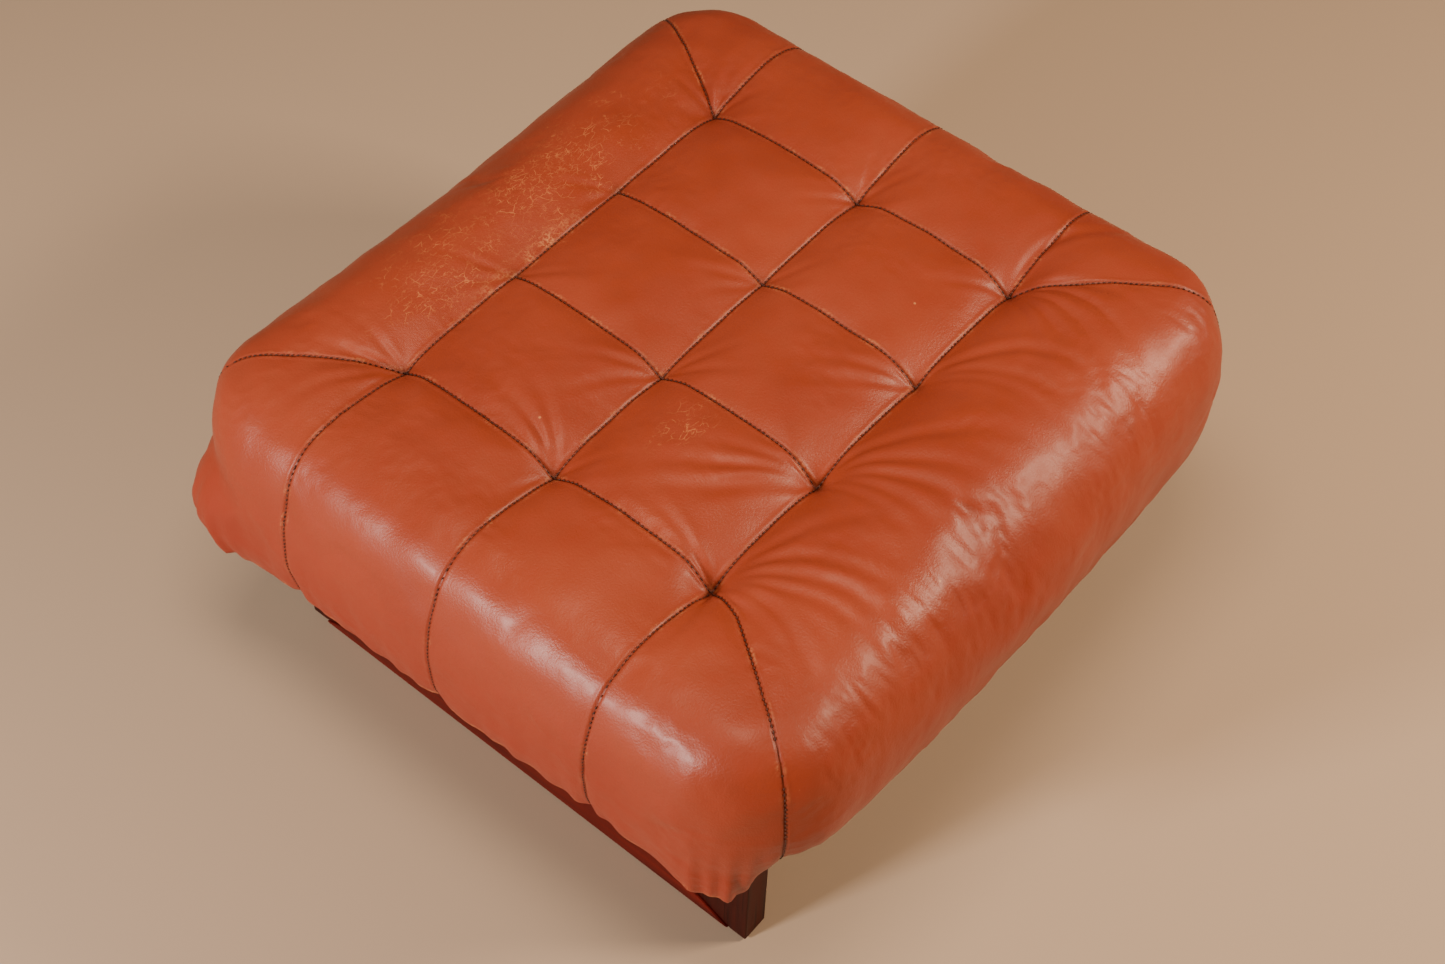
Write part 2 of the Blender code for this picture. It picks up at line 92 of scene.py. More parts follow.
# Skirt below the widest line: place round the seat, length, degrees that its hem has curled in, and how far
# it puffs out on the way down. Places count the sides from the front left corner: the front is 0 to 1, the
# right 1 to 2, the back 2 to 3 and the left 3 to 4.
SKIRT = (
    (0.00, 0.092, 24, 0.000),
    (0.02, 0.085, 60, 0.000),
    (0.042, 0.078, 100, 0.000),
    (0.07, 0.080, 92, 0.000),
    (0.13, 0.085, 60, 0.000),
    (0.21, 0.084, 34, 0.000),
    (0.30, 0.084, 20, 0.000),
    (0.50, 0.084, 16, 0.000),
    (0.80, 0.087, 14, 0.000),
    (0.93, 0.084, 22, 0.000),
    (1.00, 0.078, 44, 0.000),
    (1.08, 0.084, 20, 0.000),
    (1.50, 0.084, 12, 0.000),
    (1.92, 0.084, 16, 0.000),
    (2.00, 0.078, 34, 0.000),
    (2.08, 0.080, 14, 0.000),
    (2.90, 0.080, 10, 0.000),
    (2.96, 0.082, 4, 0.002),
    (2.985, 0.086, -6, 0.014),
    (3.015, 0.094, -8, 0.024),
    (3.05, 0.098, -4, 0.024),
    (3.08, 0.098, 2, 0.015),
    (3.12, 0.094, 4, 0.004),
    (3.16, 0.091, 4, 0.000),
    (3.50, 0.087, 4, 0.000),
    (3.84, 0.083, 8, 0.000),
    (3.88, 0.084, 6, 0.000),
    (3.93, 0.097, 4, 0.000),
    (3.97, 0.099, 8, 0.000),
    (4.00, 0.092, 24, 0.000),
)
SKIRT_STEPS = 12
CURL_POWER = 1.6  # the skirt bends mostly near its hem
PUFF_END = 0.82  # how much of a half wave the puff has been through at the hem
# Where the mitre seams reach the sides, as distances in from the corner of the seat's plan
MITRE_ENDS = {
    "front_left": (0.045, 0.0190),
    "front_right": (0.034, 0.0255),
    "back_left": (0.056, 0.0240),
    "back_right": (0.067, 0.0090),
}
SEAM_BENDS = {"front_left": (-0.2175, -0.189)}  # a mitre seam that turns on its way out
ROW_DROP = (0.018, 0.013, 0.009)  # how far the long seams lie below the crowns beside them, front to back
ROW_WIDTH = 0.024
COLUMN_DROP = 0.005
COLUMN_WIDTH = 0.015
CORNER_DROP = 0.010
CORNER_WIDTH = 0.018
# A tuft lies this much lower again: front row, middle row, back row
TUFT_DROP = (
    (0.013, 0.013, 0.008, 0.010),
    (0.011, 0.007, 0.004, 0.008),
    (0.010, 0.003, 0.003, 0.009),
)
TUFT_WIDTH = 0.018
BORDER_FADE = 0.060  # how far out over the border a row's channel runs

# ---------------------------------------------------------------- leather: cloth simulation
LEATHER_CLOTH = {
    "quality": 6,
    "mass": 0.4,
    "tension_stiffness": 25,
    "compression_stiffness": 25,
    "shear_stiffness": 12,
    "bending_stiffness": 1.2,
    "tension_damping": 12,
    "compression_damping": 12,
    "bending_damping": 1.0,
    "air_damping": 4.0,
    "uniform_pressure_force": 4.0,
    "pin_stiffness": 1.0,
}
FRAMES = 18
SLACK = 0.03  # how much longer the leather is than the space it covers
SLACK_DEPTH = 0.1  # from the top down to the point about which the slack leather is larger
MOST_MOVE = 0.012  # no point moves further than this
# How firmly the seams are held down
HOLD = {"row": 0.7, "column": 0.2, "corner": 0.3}

# ---------------------------------------------------------------- other soft parts
ELASTIC_R = 0.0013
ELASTIC_EVERY = 4  # the cord follows every fourth point of the hem
FOAM_DEPTH = 0.0045  # from the leather's face in to the foam
FOAM_CLEAR = 0.0008
FOAM_STEP = 0.011  # spacing of the foam block's mesh
FOAM_SIDES = (44, 42)  # how many parts each side of the foam edging has
FOAM_OVERLAP = 0.003
FOAM_LOW = 0.045  # how far the foam edging hangs below the top of the board at most
FOAM_RINGS = (0.26, 0.38, 0.50)  # where the foam edging follows the skirt, as parts of its length
BOARD_CORNER = 0.070
DUST_GRID = (60, 48)
DUST_CLOTH = 0.0004  # half the dust sheet's thickness
DUST_SAG = 28  # how steeply the sheet falls from its stapled edge
STAPLE = (0.010, 0.0011, 0.0006)
STAPLE_LEG = (0.0010, 0.0011, 0.0016)
STAPLE_LEG_PLACE = (0.0045, 0.0008)  # out along the staple, and up
STAPLE_INSET = 0.004
STAPLES = (12, 10)  # along the long and the short edges

# ---------------------------------------------------------------- leather: folds, seams, wear
FOLD_WIDTH = 0.0022  # half the width of a fold at its tuft
FOLD_SPREAD = 0.044  # how much wider it gets for each metre it runs
FOLD_SWAY = 0.004  # how far it wanders to either side
FOLD_WAVE = 0.026
FOLD_LONGER = 1.35
FOLD_STRENGTH = 0.60
FOLD_BANK = 0.45  # height of the raised banks beside a fold, as a share of its depth
SEAM_GROOVE = 0.0013
SEAM_REACH = 0.008  # the mesh is finer this near to a seam
LIP_OUT = 0.0030  # from the seam to the middle of the lip beside it
LIP_WIDTH = 0.0016
CREASE_DEPTH = 0.0009  # soft creases of the front shoulder
LINE_DEPTH = 0.0007  # thin lines in them
STITCH = 0.0046  # one stitch and the gap after it
THREAD = 0.00068  # radius of the thread
THREAD_OUT = 0.0011  # from the bottom of the groove to the thread's middle
SIDE_SEAM_TOP = 0.019  # the stitches down the sides start this far below the top of the seat
SIDE_SEAM_REACH = 0.035
GATHERS = 74  # puckers of the hem in each radian round the seat
CORNER_GATHERS = 172
# Folds at a tuft: column, row, then (bearing, length, depth, bend) of each
FOLDS = (
    (0, 0, ((-6, 0.130, 0.0018, -3), (-22, 0.150, 0.0024, -4), (-38, 0.150, 0.0026, -4),
            (-56, 0.130, 0.0022, -3), (-78, 0.110, 0.0020, -3), (-104, 0.070, 0.0018, 0),
            (60, 0.070, 0.0024, 3), (76, 0.050, 0.0016, 2), (-160, 0.060, 0.0016, -3))),
    (1, 0, ((-8, 0.165, 0.0024, -3.5), (-26, 0.145, 0.0022, -4), (-44, 0.140, 0.0026, -4),
            (-64, 0.110, 0.0018, -3), (-86, 0.080, 0.0014, -2), (104, 0.070, 0.0020, 2),
            (122, 0.105, 0.0030, 1), (140, 0.115, 0.0032, 0), (157, 0.095, 0.0024, -2))),
    (2, 0, ((-12, 0.160, 0.0026, -5), (-32, 0.130, 0.0020, -5), (-54, 0.110, 0.0016, -3),
            (118, 0.070, 0.0016, 1), (143, 0.080, 0.0018, -1))),
    (3, 0, ((16, 0.120, 0.0026, -4.6), (-42, 0.110, 0.0020, -4), (-60, 0.130, 0.0028, -4),
            (-80, 0.120, 0.0022, -4), (-100, 0.100, 0.0020, -3), (-124, 0.080, 0.0014, -2),
            (128, 0.060, 0.0014, 0))),
    (0, 1, ((34, 0.070, 0.0018, 3), (58, 0.085, 0.0022, 2), (80, 0.060, 0.0012, 0), (-40, 0.045, 0.0012, 0),
            (165, 0.050, 0.0010, 0))),
    (1, 1, ((-28, 0.060, 0.0014, 0), (-52, 0.055, 0.0014, 0), (120, 0.060, 0.0016, 0),
            (146, 0.070, 0.0018, 0))),
    (2, 1, ((-30, 0.050, 0.0010, 0), (125, 0.055, 0.0012, 0), (150, 0.050, 0.0012, 0))),
    (3, 1, ((20, 0.060, 0.0014, 0), (-25, 0.055, 0.0012, 0), (140, 0.050, 0.0012, 0))),
    (0, 2, ((118, 0.065, 0.0020, 0), (150, 0.085, 0.0022, 1), (166, 0.070, 0.0018, 2),
            (88, 0.045, 0.0014, 0))),
    (1, 2, ((118, 0.050, 0.0013, 0), (152, 0.045, 0.0011, 0), (-50, 0.050, 0.0010, 0))),
    (2, 2, ((128, 0.050, 0.0012, 0), (160, 0.050, 0.0010, 0))),
    (3, 2, ((58, 0.060, 0.0016, 0), (22, 0.055, 0.0022, 0), (84, 0.050, 0.0014, 0),
            (-20, 0.040, 0.0010, 0))),
)
# Cracked places: middle x and y, half width, half depth, strength
CRACKED = (
    (-0.005, 0.236, 0.190, 0.058, 0.66),
    (-0.125, 0.215, 0.055, 0.036, 0.92),
    (0.020, 0.238, 0.090, 0.034, 1.00),
    (-0.097, -0.041, 0.046, 0.022, 0.62),
)

# ---------------------------------------------------------------- colours
LEATHER_DEEP = (0.300, 0.045, 0.0180)
LEATHER_LIGHT = (0.400, 0.071, 0.0290)
LEATHER_RED = (0.390, 0.049, 0.0190)
# Painted shade: a darker colour for the lower sides, standing in for the shade down there
LEATHER_PAINTED_SHADE = (0.310, 0.020, 0.0045)
LEATHER_WORN = (0.780, 0.330, 0.130)
LEATHER_CRACK = (0.720, 0.240, 0.075)
# Painted shade for the tufts and along the seams
LEATHER_TUFT_SEAM_SHADE = (0.110, 0.018, 0.007)
LEATHER_SHEEN = {"Specular_IOR_Level": 0.36, "Coat_Weight": 0.05, "Coat_Roughness": 0.22}
LEATHER_GROOVE = (0.075, 0.014, 0.007)
PAINTED_SHADE_HEIGHTS = (0.19, 0.34)  # heights between which the painted shade on the lower sides fades out
DARK_WOOD = ((0.024, 0.0030, 0.0022), (0.070, 0.0090, 0.0056))
# Painted light: a lighter, redder copy of the dark rosewood, standing in for the light caught by the lit
# faces of the base
ROSEWOOD_PAINTED_LIGHT = ((0.070, 0.0050, 0.0034), (0.160, 0.0130, 0.0085))
PALE_WOOD = ((0.42, 0.25, 0.11), (0.62, 0.42, 0.21))
# Woven goods: thread, shaded thread, pitch, roughness, depth of the weave
WOVEN = {
    "dust_cloth": ((0.045, 0.045, 0.048), (0.012, 0.012, 0.014), 0.0011, 0.95, 0.0002),
    "elastic": ((0.74, 0.70, 0.62), (0.40, 0.36, 0.30), 0.0008, 0.85, 0.0002),
    "twine": ((0.62, 0.50, 0.33), (0.28, 0.20, 0.12), 0.0009, 0.85, 0.0003),
}
PLY = 0.0014  # thickness of the plywood's plies

# ---------------------------------------------------------------- camera, light and floor
CAMERA_PLACE = (-0.961, -0.7535, 1.753)
CAMERA_FORWARD = (0.476, 0.373, -0.797)
CAMERA_RIGHT = (0.637, -0.771, 0.020)
CAMERA_SENSOR = 36.0
CAMERA_LENS = 54.8097
LIGHT_TARGET = (0, 0, 0.3)
# Soft lights: place, size, power, colour
LIGHTS = {
    "softbox_above": ((-0.35, -0.15, 2.4), (0.95, 0.65), 25, (1.0, 0.76, 0.55)),
    "softbox_right": ((1.35, -1.70, 1.65), (0.7, 0.35), 56, (1.0, 0.74, 0.52)),
    "softbox_left": ((-2.40, 0.60, 1.10), (0.38, 0.28), 64, (1.0, 0.86, 0.78)),
}
WORLD_COLOUR = (1.0, 0.84, 0.70, 1)
WORLD_STRENGTH = 0.12
FLOOR_COLOUR = (0.57, 0.435, 0.31, 1)
FLOOR_HALF = 6.0


def catmull(points, u):
    """The point at u, counted in points, on a smooth curve through these points."""
    last = len(points) - 1
    k = min(int(u), last - 1)
    t = u - k
    a, b, c, d = (np.array(points[min(max(j, 0), last)]) for j in (k - 1, k, k + 1, k + 2))
    return 0.5 * (2 * b + (c - a) * t + (2 * a - 5 * b + 4 * c - d) * t**2 + (3 * b - a - 3 * c + d) * t**3)


def evenly(points, step):
    """Points about this far apart on the smooth curve through the given ones."""
    fine = np.array([catmull(points, u) for u in np.linspace(0, len(points) - 1, 400)])
    run = np.concatenate([[0], np.cumsum(np.linalg.norm(np.diff(fine, axis=0), axis=1))])
    count = max(2, round(run[-1] / step))
    at = np.linspace(0, run[-1], count + 1)
    return np.stack([np.interp(at, run, fine[:, axis]) for axis in range(fine.shape[1])], axis=1)


def divided(marks, step):
    """Grid lines through every mark, about this far apart."""
    lines = [marks[0]]
    for low, high in zip(marks, marks[1:]):
        count = max(1, round((high - low) / step))
        lines += [low + (high - low) * k / count for k in range(1, count + 1)]
    return lines


def side_point(fraction, half_long, half_wide, corner):
    """A point on one side of a rounded rectangle, from the middle of one corner to the middle of the next.

    The side runs along the first axis, at minus half_wide on the second.
    """
    arc = corner * math.pi / 4
    straight = 2 * (half_long - corner)
    run = fraction * (straight + 2 * arc)
    if run < arc:
        angle = math.pi / 4 - run / corner
        return -half_long + corner - corner * math.sin(angle), -half_wide + corner - corner * math.cos(angle)
    if run > arc + straight:
        angle = (run - arc - straight) / corner
        return half_long - corner + corner * math.sin(angle), -half_wide + corner - corner * math.cos(angle)
    return -half_long + corner + run - arc, -half_wide


def ring_points(fractions_x, fractions_y, half_x, half_y, corner):
    """Points round a rounded rectangle, anticlockwise from the front left corner."""
    ring = [side_point(f, half_x, half_y, corner) for f in fractions_x[:-1]]
    ring += [(-y, x) for x, y in (side_point(f, half_y, half_x, corner) for f in fractions_y[:-1])]
    ring += [(-x, -y) for x, y in (side_point(f, half_x, half_y, corner) for f in turned(fractions_x))]
    ring += [(y, -x) for x, y in (side_point(f, half_y, half_x, corner) for f in turned(fractions_y))]
    return ring


def turned(fractions):
    """The same fractions measured from the other end, without the last."""
    return [1 - f for f in reversed(fractions)][:-1]


def seat_form(step):
    """The smooth form of the seat: points, faces and how far down the edge each point lies (0 to 1)."""
    flat_x, flat_y = HALF_X - SHOULDER, HALF_Y - SHOULDER
    xs = divided([-flat_x, *COLUMNS, flat_x], step)
    ys = divided([-flat_y, *ROWS, flat_y], step)
    points = [(x, y, TOP) for y in ys for x in xs]
    down = [0.0] * len(points)
    wide, deep = len(xs), len(ys)
    faces = [
        (j * wide + i, j * wide + i + 1, (j + 1) * wide + i + 1, (j + 1) * wide + i)
        for j in range(deep - 1)
        for i in range(wide - 1)
    ]
    ring = list(range(wide - 1))
    ring += [j * wide + wide - 1 for j in range(deep - 1)]
    ring += [(deep - 1) * wide + i for i in range(wide - 1, 0, -1)]
    ring += [j * wide for j in range(deep - 1, 0, -1)]
    fractions_x = [(x + flat_x) / (2 * flat_x) for x in xs]
    fractions_y = [(y + flat_y) / (2 * flat_y) for y in ys]
    upper = evenly(EDGE, step)[1:]
    lower = max(3, round(SKIRT[0][1] / step))
    places, widest = outline(fractions_x, fractions_y)
    outward = plan_normals(widest)
    total = len(upper) + lower
    for number in range(1, total + 1):
        if number <= len(upper):
            inward, drop = upper[number - 1]
            corner = CORNER * (1 - inward / SHOULDER)
            loop = ring_points(fractions_x, fractions_y, HALF_X - inward, HALF_Y - inward, corner)
            loop = [(x, y, TOP - drop) for x, y in loop]
        else:
            part = (number - len(upper)) / lower
            inward, fall = skirt(places, part)
            flat = widest - outward * inward[:, None]
            loop = np.column_stack([flat, TOP - WIDEST - fall]).tolist()
        start = len(points)
        points += [tuple(p) for p in loop]
        down += [number / total] * len(loop)
        new = list(range(start, start + len(loop)))
        for k in range(len(loop)):
            nxt = (k + 1) % len(loop)
            faces.append((ring[k], new[k], new[nxt], ring[nxt]))
        ring = new
    return np.array(points), faces, np.array(down)


def outline(fractions_x, fractions_y):
    """The place (0 to 4) and the plan position of each point round the widest line."""
    loop = np.array(ring_points(fractions_x, fractions_y, HALF_X, HALF_Y, CORNER))
    sides = (fractions_x[:-1], fractions_y[:-1], turned(fractions_x), turned(fractions_y))
    return np.array([number + f for number, side in enumerate(sides) for f in side]), loop


def plan_normals(loop):
    """Outward directions in plan along an anticlockwise loop."""
    along = np.roll(loop, -1, axis=0) - np.roll(loop, 1, axis=0)
    normal = np.column_stack([along[:, 1], -along[:, 0]])
    return normal / np.linalg.norm(normal, axis=1, keepdims=True)


def skirt(places, part):
    """How far in and how far down the skirt is, this part of its length below the widest line."""
    marks = [mark[0] for mark in SKIRT]
    length = np.interp(places, marks, [mark[1] for mark in SKIRT])
    curl = np.radians(np.interp(places, marks, [mark[2] for mark in SKIRT]))
    puff = np.interp(places, marks, [mark[3] for mark in SKIRT])
    inward = -puff * math.sin(math.pi * PUFF_END * part)
    fall = np.zeros(len(places))
    for k in range(SKIRT_STEPS):
        angle = curl * (part * (k + 0.5) / SKIRT_STEPS) ** CURL_POWER
        inward += np.sin(angle) * length * part / SKIRT_STEPS
        fall += np.cos(angle) * length * part / SKIRT_STEPS
    return inward, fall


def to_segment(points, start, end):
    """Distance in plan from each point to a segment."""
    start = np.array(start)
    along = np.array(end) - start
    t = unit(((points[:, :2] - start) @ along) / (along @ along))
    return np.linalg.norm(points[:, :2] - start - t[:, None] * along, axis=1)


def seam_lines():
    """Every seam as (name, start, end) in plan. Rows run on over the short sides; corners are mitred."""
    lines = []
    for number, y in enumerate(ROWS):
        lines.append((f"row_{number}", (-HALF_X, y), (HALF_X, y)))
    for number, x in enumerate(COLUMNS):
        for gap, (low, high) in enumerate(zip(ROWS, ROWS[1:])):
            lines.append((f"column_{number}_{gap}", (x, low), (x, high)))
    for name, (inward_x, inward_y) in MITRE_ENDS.items():
        left, front = "left" in name, "front" in name
        start = (COLUMNS[0] if left else COLUMNS[-1], ROWS[0] if front else ROWS[-1])
        end = ((HALF_X - inward_x) * (-1 if left else 1), (HALF_Y - inward_y) * (-1 if front else 1))
        bend = SEAM_BENDS.get(name)
        if bend:
            lines.append((f"corner_{name}_start", start, bend))
        lines.append((f"corner_{name}", bend or start, end))
    return lines


def field_distance(points):
    """Distance in plan outside the rectangle of tufts; 0 inside it."""
    x = np.maximum(np.abs(points[:, 0]) - COLUMNS[-1], 0)
    y = np.maximum(np.maximum(points[:, 1] - ROWS[-1], ROWS[0] - points[:, 1]), 0)
    return np.hypot(x, y)


def tuft_distance(points):
    """Distance in plan from each point to the nearest tuft."""
    centres = np.array([(tuft.x, tuft.y) for tuft in TUFTS])
    return np.min(np.linalg.norm(points[:, None, :2] - centres[None], axis=2), axis=1)


def quilted(form):
    """The form with its seams and tufts drawn down."""
    outside = field_distance(form)
    fade = bell(outside, BORDER_FADE)
    sizes = {f"row_{number}": (drop, ROW_WIDTH) for number, drop in enumerate(ROW_DROP)}
    sizes |= {"column": (COLUMN_DROP, COLUMN_WIDTH), "corner": (CORNER_DROP, CORNER_WIDTH)}
    drop = np.zeros(len(form))
    for name, start, end in seam_lines():
        deep, wide = sizes[name] if name in sizes else sizes[name.split("_")[0]]
        distance = to_segment(form, start, end)
        depth = deep * bell(distance, wide, 1.3)
        drop = np.maximum(drop, depth * (0.06 + 0.94 * fade))
    for row, depths in zip(ROWS, TUFT_DROP):
        for column, depth in zip(COLUMNS, depths):
            away = np.hypot(form[:, 0] - column, form[:, 1] - row)
            drop += depth * bell(away, TUFT_WIDTH, 1.15)
    result = form.copy()
    result[:, 2] -= drop * unit((form[:, 2] - TOP + WIDEST) / 0.04)
    return result


def unit(values):
    """The values, kept between 0 and 1."""
    return np.clip(values, 0, 1)


def bell(distance, width, power=2):
    """1 in the middle, and fading out at about this distance."""
    return np.exp(-((distance / width) ** power))


def new_mesh(name, points, faces):
    """A mesh of these points and faces."""
    mesh = bpy.data.meshes.new(name)
    mesh.from_pydata([tuple(p) for p in points], [], faces)
    mesh.update()
    return mesh


def new_piece(name, mesh):
    """An object in the scene with this mesh or curve."""
    piece = bpy.data.objects.new(name, mesh)
    bpy.context.scene.collection.objects.link(piece)
    return piece


def piece_from(name, bm):
    """An object in the scene with the finished edit mesh."""
    mesh = bpy.data.meshes.new(name)
    bm.to_mesh(mesh)
    bm.free()
    return new_piece(name, mesh)


def coordinates(mesh):
    """The mesh's points as rows."""
    flat = np.empty(len(mesh.vertices) * 3)
    mesh.vertices.foreach_get("co", flat)
    return flat.reshape(-1, 3)


def put_coordinates(mesh, points):
    """Moves the mesh's points to these places."""
    mesh.vertices.foreach_set("co", np.asarray(points, dtype=float).ravel())
    mesh.update()


def settle(piece, longer, hold):
    """Inflates the leather under its seams and tufts, and leaves the result in the mesh."""
    start = coordinates(piece.data)
    piece.shape_key_add(name="Basis")
    slack = piece.shape_key_add(name="slack")
    slack.data.foreach_set("co", longer.ravel())
    group = piece.vertex_groups.new(name="hold")
    for index in np.nonzero(hold > 0)[0]:
        group.add([int(index)], float(hold[index]), "REPLACE")
    cloth = piece.modifiers.new("leather", "CLOTH")
    settings = cloth.settings
    for name, value in LEATHER_CLOTH.items():
        setattr(settings, name, value)
    settings.use_pressure = True
    settings.vertex_group_mass = "hold"
    settings.rest_shape_key = slack
    settings.effector_weights.gravity = 0
    cloth.collision_settings.use_collision = False
    cloth.point_cache.frame_start = 1
    cloth.point_cache.frame_end = FRAMES
    scene = bpy.context.scene
    for number in range(1, FRAMES + 1):
        scene.frame_set(number)
    seen = piece.evaluated_get(bpy.context.evaluated_depsgraph_get())
    settled = coordinates(seen.data)
    piece.modifiers.remove(cloth)
    piece.shape_key_clear()
    piece.vertex_groups.clear()
    scene.frame_set(1)
    move = settled - start
    size = np.linalg.norm(move, axis=1, keepdims=True)
    move *= MOST_MOVE * np.tanh(size / MOST_MOVE) / np.maximum(size, 1e-9)
    put_coordinates(piece.data, start + move)


def leather_start():
    form, faces, down = seat_form(STEP)
    start = quilted(form)
    piece = new_piece("seat_cover", new_mesh("seat_cover", start, faces))
    hold = np.zeros(len(form))
    for name, a, b in seam_lines():
        distance = to_segment(form, a, b)
        near = (distance < STEP * 0.6) & (form[:, 2] > TOP - 0.03)
        hold[near] = np.maximum(hold[near], HOLD[name.split("_")[0]])
    hold[tuft_distance(form) < STEP * 1.1] = 1.0
    hold[down > 0.999] = 1.0
    centre = np.array([0, 0, TOP - SLACK_DEPTH])
    slack = centre + (form - centre) * (1 + SLACK)
    settle(piece, slack, hold)
    put_values(piece.data, "rest", form)
    put_values(piece.data, "down", down)
    return piece


def put_values(mesh, name, values):
    """Stores a number or a vector for each point of the mesh."""
    vector = values.ndim == 2
    layer = mesh.attributes.new(name, "FLOAT_VECTOR" if vector else "FLOAT", "POINT")
    layer.data.foreach_set("vector" if vector else "value", np.asarray(values, dtype=np.float32).ravel())


def values_of(mesh, name):
    """What put_values stored, in the same order."""
    layer = mesh.attributes[name]
    vector = layer.data_type == "FLOAT_VECTOR"
    flat = np.empty(len(layer.data) * (3 if vector else 1), dtype=np.float32)
    layer.data.foreach_get("vector" if vector else "value", flat)
    return flat.reshape(-1, 3).astype(float) if vector else flat.astype(float)


def subdivide_all(piece):
    """Applies one level of Catmull-Clark subdivision."""
    piece.modifiers.new("finer", "SUBSURF").levels = 1
    seen = piece.evaluated_get(bpy.context.evaluated_depsgraph_get())
    finer = bpy.data.meshes.new_from_object(seen)
    piece.modifiers.clear()
    piece.data = finer


def nearest_seam(rest):
    """Distance in plan to the nearest seam, signed by the side of it."""
    best = np.full(len(rest), 1.0)
    for _, start, end in seam_lines():
        distance = to_segment(rest, start, end)
        direction = np.array(end) - np.array(start)
        offset = rest[:, :2] - np.array(start)
        side = np.sign(direction[0] * offset[:, 1] - direction[1] * offset[:, 0])
        closer = distance < np.abs(best)
        best[closer] = (distance * np.where(side == 0, 1, side))[closer]
    return best


def refine_seams(piece, reach):
    """Splits the edges that lie near a seam once more, so that the groove has its own points."""
    near = np.abs(nearest_seam(values_of(piece.data, "rest"))) < reach
    bm = bmesh.new()
    bm.from_mesh(piece.data)
    bm.verts.ensure_lookup_table()
    edges = [edge for edge in bm.edges if near[edge.verts[0].index] and near[edge.verts[1].index]]
    bmesh.ops.subdivide_edges(bm, edges=edges, cuts=1, use_grid_fill=True)
    bm.to_mesh(piece.data)
    bm.free()


def normals_of(mesh):
    """The outward direction at each of the mesh's points."""
    flat = np.empty(len(mesh.vertices) * 3, dtype=np.float32)
    mesh.vertex_normals.foreach_get("vector", flat)
    return flat.reshape(-1, 3).astype(float)


def fold_relief(rest):
    """The folds that run out from the tufts."""
    relief = np.zeros(len(rest))
    for column, row, folds in FOLDS:
        offset = rest[:, :2] - np.array((COLUMNS[column], ROWS[row]))
        reach = np.linalg.norm(offset, axis=1)
        bearing = np.arctan2(offset[:, 1], offset[:, 0])
        for degrees, length, depth, bend in folds:
            sway = FOLD_SWAY * np.sin(reach / FOLD_WAVE + degrees)
            turn = bearing - math.radians(degrees) - bend * reach
            turn = (turn + math.pi) % (2 * math.pi) - math.pi
            across = reach * np.sin(turn) + sway * reach / 0.1
            ahead = unit(np.cos(turn))
            wide = FOLD_WIDTH + FOLD_SPREAD * reach
            peak = length * 0.5
            rise = (reach / peak) * np.exp(1 - reach / peak)
            rise *= bell(reach, length * FOLD_LONGER, 4)
            trough = bell(across, wide)
            banks = bell(np.abs(across) / wide - 1.9, 1)
            relief += FOLD_STRENGTH * depth * rise * ahead * (FOLD_BANK * banks - trough)
    return relief


def smooth_noise(points, size, seed):
    """Noise between about -1 and 1 whose lumps are this large; size is one number or one for each axis."""
    shift = Vector((seed * 7.31, seed * 3.17, seed * 5.77))
    scaled = points / np.asarray(size)
    return np.array([noise.noise(Vector(p) + shift) for p in scaled]) * 1.6


def crease_relief(rest):
    """Short creases across the worn front shoulder and over the other shoulders, and slow unevenness."""
    in_x, in_y = HALF_X - np.abs(rest[:, 0]), HALF_Y - np.abs(rest[:, 1])
    front = bell(rest[:, 1] + HALF_Y - 0.026, 0.030)
    front *= unit((rest[:, 2] - TOP + 0.13) / 0.05) * unit(in_x / 0.10)
    patches = np.clip(smooth_noise(rest, 0.07, 1) * 0.6 + 0.85, 0.3, 1)
    slanted = rest + np.outer(rest[:, 1] * 0.3 - rest[:, 2] * 0.2, (1, 0, 0))
    fine = smooth_noise(slanted, (0.0072, 0.036, 0.034), 2)
    relief = -CREASE_DEPTH * front * patches * np.abs(fine)
    lines = smooth_noise(slanted, (0.010, 0.050, 0.045), 9)
    relief -= LINE_DEPTH * front * patches * unit(1 - np.abs(lines) / 0.20)
    edge = bell(np.minimum(in_x, in_y) - 0.03, 0.03)
    relief -= 0.0005 * edge * unit(smooth_noise(rest, 0.05, 3)) * np.abs(smooth_noise(rest, 0.011, 4))
    relief += 0.0010 * smooth_noise(rest, 0.075, 5) + 0.0008 * smooth_noise(rest, 0.030, 6)
    relief -= 0.0006 * unit(smooth_noise(rest, 0.06, 7) + 0.3) * np.abs(smooth_noise(rest, 0.013, 8))
    return relief


def hem_gather(rest, down, signed):
    """Puckers of the gathered hem: they grow towards the hem and are deepest at the corners."""
    low = unit((down - 0.55) / 0.45) ** 1.8
    corner_x = unit(1 - (HALF_X - np.abs(rest[:, 0])) / 0.10)
    corner_y = unit(1 - (HALF_Y - np.abs(rest[:, 1])) / 0.10)
    corner = unit(corner_x * corner_y * 2.2)
    bearing = np.arctan2(rest[:, 1], rest[:, 0])
    sway = 2.2 * np.sin(bearing * 9.0) + 1.3 * np.sin(bearing * 23.0)
    wide, tight = bearing * GATHERS + sway, bearing * CORNER_GATHERS + sway
    inward = 0.0007 * np.sin(wide) + corner * (0.0012 * np.sin(wide) + 0.0024 * np.sin(tight))
    slow, quick = np.cos(wide * 0.93), np.cos(tight * 0.93)
    dip = 0.0009 * slow + corner * (0.0010 * slow + 0.0020 * quick)
    notch = bell(signed, 0.006)
    return low * (inward - 0.0015 * notch), low * (dip + 0.0035 * notch)


def seam_relief(signed):
    """The stitched groove, with the leather's folded allowance raised on one side of it."""
    distance = np.abs(signed)
    groove = -SEAM_GROOVE * bell(distance, 0.0010) - 0.0006 * np.exp(-distance / 0.004)
    thick_lip = 0.0005 * bell(signed - LIP_OUT, LIP_WIDTH)
    thin_lip = 0.0002 * bell(signed + LIP_OUT, LIP_WIDTH)
    return groove + thick_lip + thin_lip


